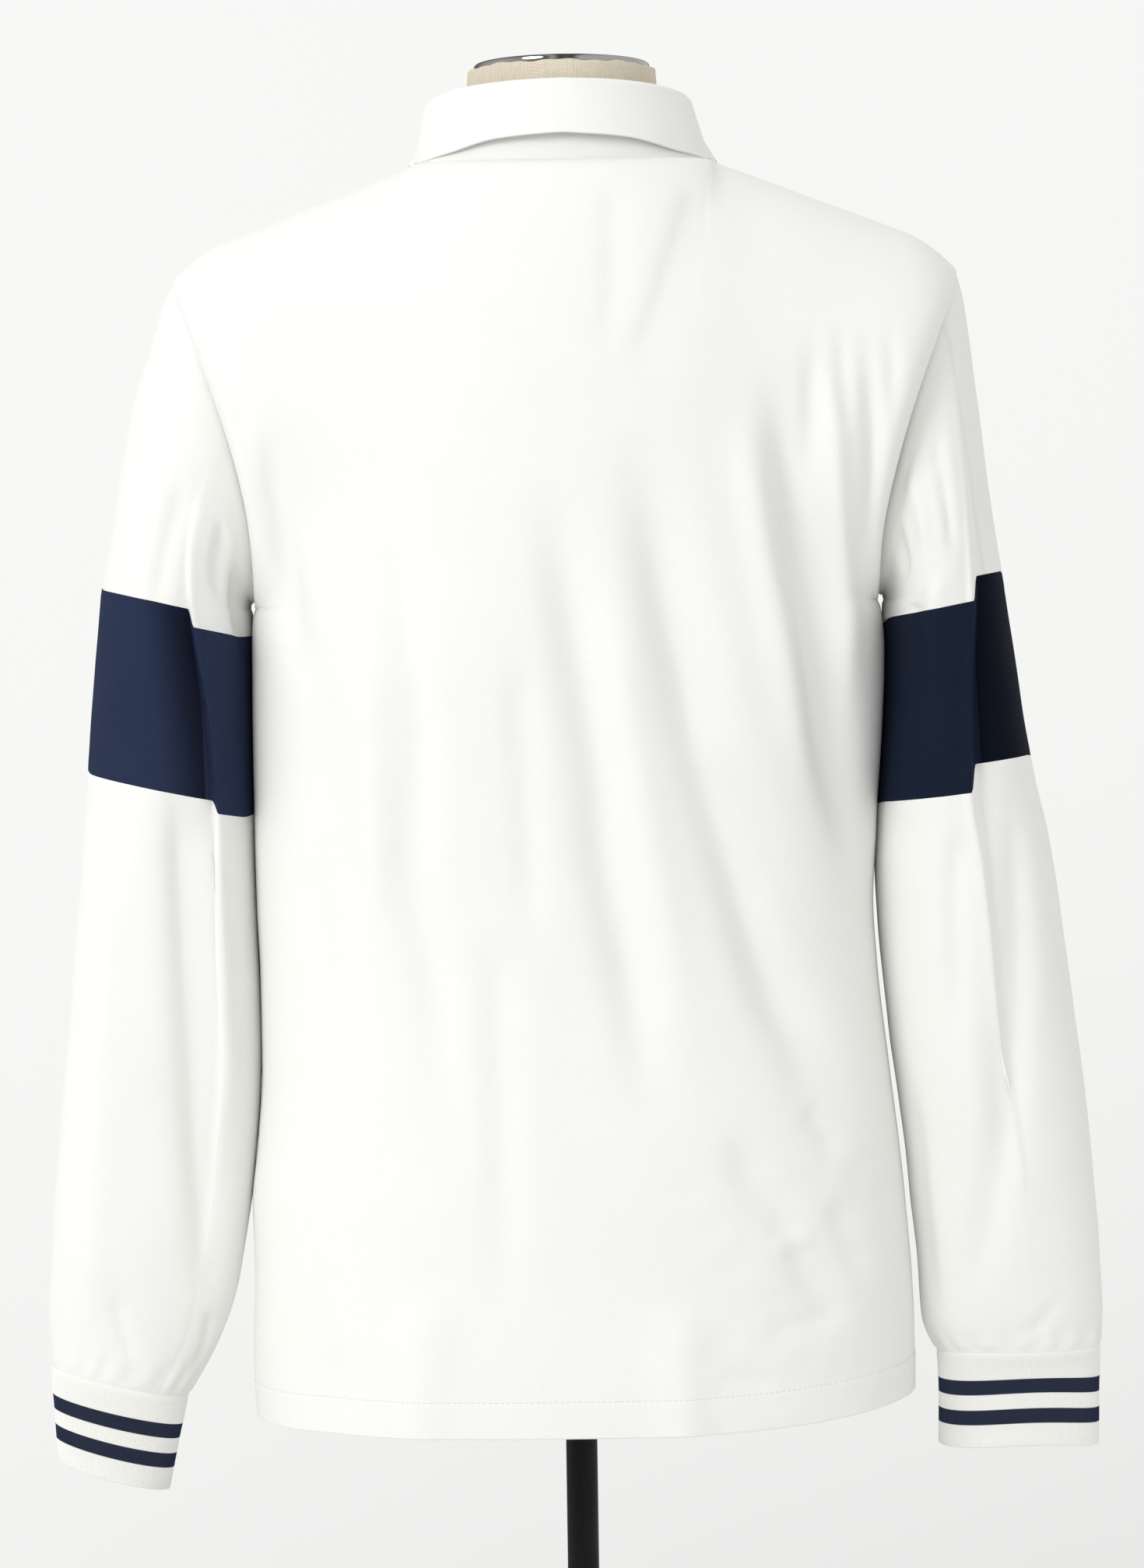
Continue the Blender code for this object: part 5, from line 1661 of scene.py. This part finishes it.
    def build(self) -> None:
        """Build the collar and its edge stitching."""
        grid = self.centre_grid()
        leaf = grid[:, self.even_from:]
        for _ in range(2):
            leaf[:] = 0.5 * leaf + 0.25 * (np.roll(leaf, 1, axis=0)
                                           + np.roll(leaf, -1, axis=0))
            leaf[0], leaf[-1] = leaf[1], leaf[-2]
        normals = grid_normals(grid, False, 1.0)
        rows = np.arange(self.profile_rows)
        ripple = 0.0006 * crumple(grid, 0.030, 21.0) * step(*self.ripple_from, rows)
        run = lengths(grid, 1)
        edge = run[:, -1:] - run
        ends = lengths(grid, 0)
        edge = np.minimum(edge, np.minimum(ends, ends[-1:] - ends) + 0.002)
        sewn = step(*self.leaf_from, rows)[None, :]
        border = 1.0 - step(self.stitch_in - 0.001, self.stitch_in + 0.001, edge)
        relief = ripple - 0.00022 * bell(edge - self.stitch_in, 0.0009) * sewn
        relief = relief + 0.00020 * border * sewn
        grid = grid + normals * relief[..., None]
        middle = int(self.leaf_from[1])
        u = lengths(grid, 0)[:, middle:middle + 1] + np.zeros((1, self.profile_rows))
        outer = grid + 0.5 * self.wall * normals
        inner = grid - 0.5 * self.wall * normals
        shell = Shell(outer, inner, False, False, u, run)
        piece = shell.piece("collar_cloth", self.finishes.woven, "collar", "woven")
        line, line_normals = self.stitch_line(outer, normals, run)
        stitches = stitch_row("collar_edge_stitches", line, line_normals,
                              self.finishes.thread, 0.0021, 0.0028, 0.00020)

    def stitch_line(self, outer: Grid, normals: Grid, run: Grid) -> tuple[Grid, Grid]:
        """Where the edge stitching runs: up one front edge, round the leaf, down the other."""
        rows, ways = [], []
        for k in range(3, len(outer) - 3):
            target = run[k, -1] - self.stitch_in
            rows.append(read_at(target, run[k], outer[k]))
            ways.append(read_at(target, run[k], normals[k]))
        return np.array(rows), unit(np.array(ways))


def turned_by(way: Grid, angle: float) -> Grid:
    """A plan direction turned about the vertical."""
    c, s = math.cos(angle), math.sin(angle)
    return np.array([c * way[0] - s * way[1], s * way[0] + c * way[1]])


# ---------------------------------------------------------------- placket and buttons
@dataclass
class Placket:
    """The front's buttoned strip, with three shirt buttons."""

    body: Body
    finishes: Finishes
    length: float = 0.155
    half_width: float = 0.0172
    wall: float = 0.0014
    button_drops: tuple[float, ...] = (0.024, 0.080, 0.134)
    button_r: float = 0.0057
    button_t: float = 0.0026
    hole_r: float = 0.0007
    hole_out: float = 0.00135
    dish_r: float = 0.0034
    turned_sides: int = 48
    columns: int = 17
    stitch_in: float = 0.0030      # stitching's distance from the strip's edges

    def lane(self) -> tuple[Grid, Grid, Grid]:
        """Heights, points and normals up the middle of the front panel."""
        panel = self.body.panels[Face.FRONT]
        middle = panel.points.shape[1] // 2
        points = panel.points[:, middle]
        return points[:, 2], points, panel.normals[:, middle]

    def strip(self) -> tuple[Grid, Grid]:
        """The panel's own points and normals under the placket."""
        panel = self.body.panels[Face.FRONT]
        lane = self.lane()[0]
        low = int(np.argmin(np.abs(lane - (lane[-1] - self.length))))
        x = np.linspace(-self.half_width, self.half_width, self.columns)
        points, normals = [], []
        for r in range(low, len(lane)):
            row = panel.points[r]
            points.append(np.column_stack([x, read_at(x, row[:, 0], row[:, 1:])]))
            normals.append(read_at(x, row[:, 0], panel.normals[r]))
        count = 2 * len(points)
        return smooth_run(np.array(points), count), unit(smooth_run(np.array(normals), count))

    def build(self) -> None:
        """Build the strip, its stitching and the buttons."""
        p, normals = self.strip()
        x = p[..., 0]
        up = lengths(p, 0)
        edge = np.minimum(self.half_width - np.abs(x), up)
        puff = (0.00030 * step(0.0, 0.0022, edge)
                - 0.00025 * bell(edge - self.stitch_in, 0.0008))
        outer = p + normals * (SEAM + self.wall + puff)[..., None]
        inner = p + normals * SEAM
        shell = Shell(outer, inner, False, False, x, up)
        piece = shell.piece("placket_cloth", self.finishes.woven, "placket", "woven")
        low = np.searchsorted(up[:, 0], self.stitch_in)
        left = np.array([read_at(self.stitch_in - self.half_width, x[r], outer[r])
                         for r in range(len(p) - 1, low, -1)])
        right = left[::-1] * np.array([-1.0, 1.0, 1.0])
        line = np.concatenate([left, right])
        facing = np.tile(np.array([0.0, -1.0, 0.15]), (len(line), 1))
        stitches = stitch_row("placket_stitches", line, unit(facing), self.finishes.thread,
                              0.0021, 0.0028, 0.00020)
        for number, drop in enumerate(self.button_drops, 1):
            self.build_button(number, drop)

    def build_button(self, number: int, drop: float) -> None:
        """One button on its seat, with four holes.

        Args:
            number: 1 is the top button.
            drop: how far below the neckline it sits.
        """
        lane, points, normals = self.lane()
        z = lane[-1] - drop
        point, axis = read_at(z, lane, points), unit(read_at(z, lane, normals))
        seat = point + axis * (2.2 * SEAM + self.wall)
        across = unit(np.cross(axis, np.array([0.0, 0.0, 1.0])))
        up = np.cross(across, axis)
        place = Matrix([[*across, 0.0], [*up, 0.0], [*axis, 0.0],
                        [0.0, 0.0, 0.0, 1.0]]).transposed()
        place.translation = Vector(seat)
        piece = self.button_body("button_%d_pearl" % number, place)
        stand_for("button_%d" % number)

    def button_body(self, name: str, place: Matrix) -> bpy.types.Object:
        """A turned button with a raised rim, a dished middle and four holes.

        Args:
            name: the piece's name.
            place: its frame, with the axis along local Z.

        Returns:
            The new object.
        """
        sides, dish, floor = self.turned_sides, self.dish_r, 0.62 * self.button_t
        turn = turns(sides)
        profile = ((dish, floor), (0.72 * self.button_r, 0.74 * self.button_t),
                   (0.78 * self.button_r, 0.94 * self.button_t),
                   (0.88 * self.button_r, self.button_t),
                   (0.96 * self.button_r, 0.92 * self.button_t),
                   (self.button_r, 0.70 * self.button_t),
                   (self.button_r, 0.30 * self.button_t),
                   (0.94 * self.button_r, 0.06 * self.button_t),
                   (0.84 * self.button_r, 0.0), (dish, 0.0))
        points = []
        for r, z in profile:
            points.extend([[r * math.cos(a), r * math.sin(a), z] for a in turn])
        ids = np.arange(len(profile) * sides).reshape(len(profile), sides)
        faces = quads(joined(ids)).tolist()
        for k in range(4):
            angle = 0.25 * math.pi + 0.5 * math.pi * k
            cx, cy = self.hole_out * math.cos(angle), self.hole_out * math.sin(angle)
            self.add_hole(points, faces, ids, k * sides // 4, (cx, cy), floor)
        world = np.array([place @ Vector(p) for p in points])
        return make_piece(name, world, faces, None, self.finishes.pearl, 50.0)

    def add_hole(self, points: list, faces: list, ids: Grid, first: int,
                 centre: tuple[float, float], floor: float) -> None:
        """Fill a quarter of the dish round one hole, above and below, and line the hole.

        Args:
            points: the button's points, added to.
            faces: its faces, added to.
            ids: point numbers of its turned rings.
            first: the ring point where the quarter starts.
            centre: the hole's centre.
            floor: height of the dish.
        """
        quarter = ids.shape[1] // 4
        levels = []
        for ring, z in ((0, floor), (-1, 0.0)):
            middle = len(points)
            points.append([0.0, 0.0, z])
            arc = [int(ids[ring, (first + i) % ids.shape[1]]) for i in range(quarter + 1)]
            outline = arc + [middle]
            start, total = len(points), len(outline)
            for i in outline:
                x, y = points[i][:2]
                way = math.atan2(y - centre[1], x - centre[0])
                points.append([centre[0] + self.hole_r * math.cos(way),
                               centre[1] + self.hole_r * math.sin(way), z])
            hole = list(range(start, start + total))
            for i in range(total):
                j = (i + 1) % total
                face = [outline[i], outline[j], hole[j], hole[i]]
                faces.append(face if ring == 0 else face[::-1])
            levels.append(hole)
        top, low = levels
        for i in range(len(top)):
            j = (i + 1) % len(top)
            faces.append([top[i], top[j], low[j], low[i]])


# ---------------------------------------------------------------- dress form and stand
@dataclass
class DressForm:
    """Linen torso, polished neck cap, pole and base."""

    finishes: Finishes
    sides: int = 128
    rows: int = 150
    slack: float = 0.0016          # the fine form stays this far inside the faceted one
    brim_z: float = 1.1280         # the linen's rolled edge stands round the cap
    cap_r: float = 0.0518
    cap_foot: float = 1.1268
    cap_top: float = 1.1327
    pole_r: float = 0.0093
    pole_foot: float = 0.0103
    pole_top: float = 0.4197
    base_r: float = 0.150
    base_t: float = 0.010

    def build_torso(self) -> None:
        """The linen-covered torso with its neck."""
        heights = np.concatenate([np.linspace(0.420, 1.0, self.rows // 2, endpoint=False),
                                  np.linspace(1.0, self.brim_z, self.rows // 2)])
        turn = turns(self.sides)
        c, s = np.cos(turn), np.sin(turn)
        rings = []
        for z in heights:
            w, back, front, power = (float(ease(FORM, k, z)) for k in (1, 2, 3, 4))
            shrink = self.slack * (1.0 - float(step(1.070, 1.095, z)))
            e = 2.0 / power
            x = (w - shrink) * np.sign(c) * np.abs(c) ** e
            deep = np.where(s >= 0.0, back, front) - shrink
            y = deep * np.sign(s) * np.abs(s) ** e
            rings.append(np.column_stack([x, y, np.full(self.sides, z)]))
        rings = np.array(rings)
        brim = 0.0004 * np.sin(9.0 * turn) + 0.0003 * np.sin(23.0 * turn + 1.0)
        rings[-1, :, 2] += brim
        lip = np.repeat(rings[-1:], 3, axis=0)
        lip[:, :, :2] *= np.array([0.984, 0.966, 0.958])[:, None, None]
        lip[:, :, 2] += np.array([0.0008, 0.0006, -0.0017])[:, None]
        rings = np.concatenate([rings, lip])
        piece = stack_rings("form_torso_linen", rings, self.finishes.linen, 60.0)
        stand_for("form_torso")

    def build_cap(self) -> None:
        """The turned metal cap on the neck, with a groove under its rim."""
        r, foot, top = self.cap_r, self.cap_foot, self.cap_top
        profile = np.array([
            (r - 0.0040, foot), (r - 0.0036, foot + 0.0010), (r - 0.0010, foot + 0.0012),
            (r - 0.0002, foot + 0.0016), (r, foot + 0.0022), (r, top - 0.0014),
            (r - 0.0003, top - 0.0007), (r - 0.0010, top - 0.0002), (r - 0.0024, top),
            (r - 0.0060, top - 0.0001), (r - 0.0066, top - 0.0006),
            (r - 0.0072, top - 0.0001), (0.55 * r, top + 0.0003), (0.10 * r, top + 0.0004)])
        piece = lathe("neck_cap_chrome", profile, 160, self.finishes.chrome)
        stand_for("neck_cap")

    def build_stand(self) -> None:
        """The pole and the round base."""
        pole = lathe("pole_tube", np.array([
            (self.pole_r - 0.0004, self.pole_foot), (self.pole_r, self.pole_foot + 0.0004),
            (self.pole_r, self.pole_top - 0.0004), (self.pole_r - 0.0004, self.pole_top)]),
            64, self.finishes.steel)
        stand_for("pole")
        r, t = self.base_r, self.base_t
        base = lathe("base_disc", np.array([
            (r - 0.0012, 0.0), (r - 0.0003, 0.0008), (r, 0.0020), (r, t - 0.0032),
            (r - 0.0006, t - 0.0014), (r - 0.0022, t - 0.0003), (r - 0.0040, t),
            (0.5 * r, t), (0.1 * r, t)]), 192, self.finishes.steel)
        stand_for("base")

    def build(self) -> None:
        """Build the form and its stand."""
        self.build_torso()
        self.build_cap()
        self.build_stand()


# ---------------------------------------------------------------- the studio
@dataclass
class Studio:
    """Floor, soft light from the wearer's left, pale surround and the camera."""

    distance: float = 2.7
    eye_z: float = 0.778
    tilt_deg: float = -1.47
    roll_deg: float = -0.85
    focal_px: float = 5863.0
    frame_px: float = 2014.0
    sensor_mm: float = 36.0
    floor_r: float = 1.15
    floor_sides: int = 96
    key_power: float = 36.0
    key_size: float = 1.5
    key_at: tuple[float, float, float] = (1.9, 2.35, 2.2)
    key_aim: tuple[float, float, float] = (0.0, 0.0, 0.75)
    bright_side: tuple[float, float, float] = (0.78, 0.45, 0.43)
    fill_low: float = 0.785
    fill_rise: float = 0.150
    middle_level: float = 0.930    # the surround's grey at eye height and at the foot
    foot_level: float = 0.842
    middle_fall: float = 0.009     # how much each falls towards the wearer's right
    foot_fall: float = 0.040
    half_view: float = 0.125       # directions at the view's sides, foot and top
    view_foot: float = -0.195
    view_top: float = 0.145
    mirrored: tuple[tuple[float, float], ...] = (   # what the polished cap shows
        (0.00, 0.90), (0.30, 0.85), (0.38, 0.12), (0.46, 0.18), (0.52, 0.10),
        (0.60, 0.75), (0.66, 0.14), (0.80, 0.30), (1.00, 0.80))

    def build_camera(self) -> None:
        """The camera at the photograph's angle."""
        data = bpy.data.cameras.new("camera")
        data.sensor_width = self.sensor_mm
        data.lens = self.focal_px * self.sensor_mm / self.frame_px
        camera = new_object("camera", data)
        tilt = math.radians(self.tilt_deg)
        look = Vector((0.0, -math.cos(tilt), math.sin(tilt)))
        camera.matrix_world = (aimed(Vector((0.0, self.distance, self.eye_z)), look)
                               @ Matrix.Rotation(math.radians(self.roll_deg), 4, "Z"))
        bpy.context.scene.camera = camera

    def build_floor(self) -> None:
        """A pale round floor whose edge fades into the surround."""
        material, graph = new_material("floor")
        place = graph.node("ShaderNodeTexCoord", None, None, "Object")
        flat = graph.node("ShaderNodeVectorMath", {"operation": "LENGTH"}, {0: place}, 1)
        paint = graph.node("ShaderNodeBsdfDiffuse", None, {"Color": (0.86, 0.86, 0.85, 1.0)})
        clear = graph.node("ShaderNodeBsdfTransparent")
        away = flat.soft(0.45 * self.floor_r, 0.98 * self.floor_r)
        surface = graph.node("ShaderNodeMixShader", None, {0: away, 1: paint, 2: clear})
        graph.node("ShaderNodeOutputMaterial", None, {"Surface": surface})
        turn = turns(self.floor_sides)
        points = np.column_stack([self.floor_r * np.cos(turn), self.floor_r * np.sin(turn),
                                  0.0 * turn])
        mesh = bpy.data.meshes.new("floor")
        mesh.from_pydata(points.tolist(), [], [list(range(self.floor_sides))])
        mesh.materials.append(material)
        floor = new_object("floor", mesh)

    def build_world(self) -> None:
        """A nearly white surround, a little darker low down and to the wearer's right."""
        world = bpy.data.worlds.new("surround")
        world.use_nodes = True
        bpy.context.scene.world = world
        graph = Graph(world.node_tree)
        way = graph.node("ShaderNodeTexCoord", None, None, "Generated")
        x = graph.node("ShaderNodeSeparateXYZ", None, {0: way})
        z = Signal(graph, x.socket.node.outputs[2])
        right = (x * -1.0).line(-self.half_view, self.half_view) * 2.0 - 1.0
        down = 1.0 - z.line(self.view_foot, self.view_top)
        low = down ** 3.0
        level = ((self.middle_level - right * self.middle_fall) * (1.0 - low)
                 + (self.foot_level - right * self.foot_fall) * low)
        colour = graph.node("ShaderNodeCombineXYZ", None,
                            {0: level, 1: level * 1.003, 2: level * 0.992})
        glossy = graph.node("ShaderNodeLightPath", None, None, "Is Glossy Ray")
        camera = graph.node("ShaderNodeLightPath", None, None, "Is Camera Ray")
        towards = graph.node("ShaderNodeVectorMath", {"operation": "DOT_PRODUCT"},
                             {0: way, 1: self.bright_side}, 1)
        fill = towards.soft(-1.0, 1.0) * self.fill_rise + self.fill_low
        room = graph.node("ShaderNodeCombineXYZ", None,
                          {0: fill, 1: fill, 2: fill * 0.985})
        bands = graph.node("ShaderNodeValToRGB", {"stops": self.mirrored},
                           {0: x * 0.5 + 0.5})
        seen = graph.mix(camera, graph.mix(glossy, room, bands), colour)
        back = graph.node("ShaderNodeBackground", None, {"Color": seen, "Strength": 1.0})
        graph.node("ShaderNodeOutputWorld", None, {"Surface": back})

    def build_light(self) -> None:
        """One broad soft light from the wearer's left, behind and above."""
        data = bpy.data.lights.new("key", "AREA")
        data.shape = "DISK"
        data.size = self.key_size
        data.energy = self.key_power
        data.color = (1.0, 0.995, 0.98)
        place = Vector(self.key_at)
        look = (Vector(self.key_aim) - place).normalized()
        new_object("key", data).matrix_world = aimed(place, look)

    def build(self) -> None:
        """Build the camera, floor, surround and light."""
        bpy.context.scene.view_settings.view_transform = "Standard"
        self.build_camera()
        self.build_floor()
        self.build_world()
        self.build_light()


def main() -> None:
    """Build the camera, the shirt and its form, piece by piece."""
    logging.basicConfig(level=logging.INFO, format="%(name)s: %(message)s")
    Studio().build()
    finishes = Finishes()
    body = Body(finishes)
    body.build()
    for side in Side:
        Sleeve(side, body, finishes).build()
    Collar(body, finishes).build()
    Placket(body, finishes).build()
    DressForm(finishes).build()


if __name__ == "__main__":
    main()
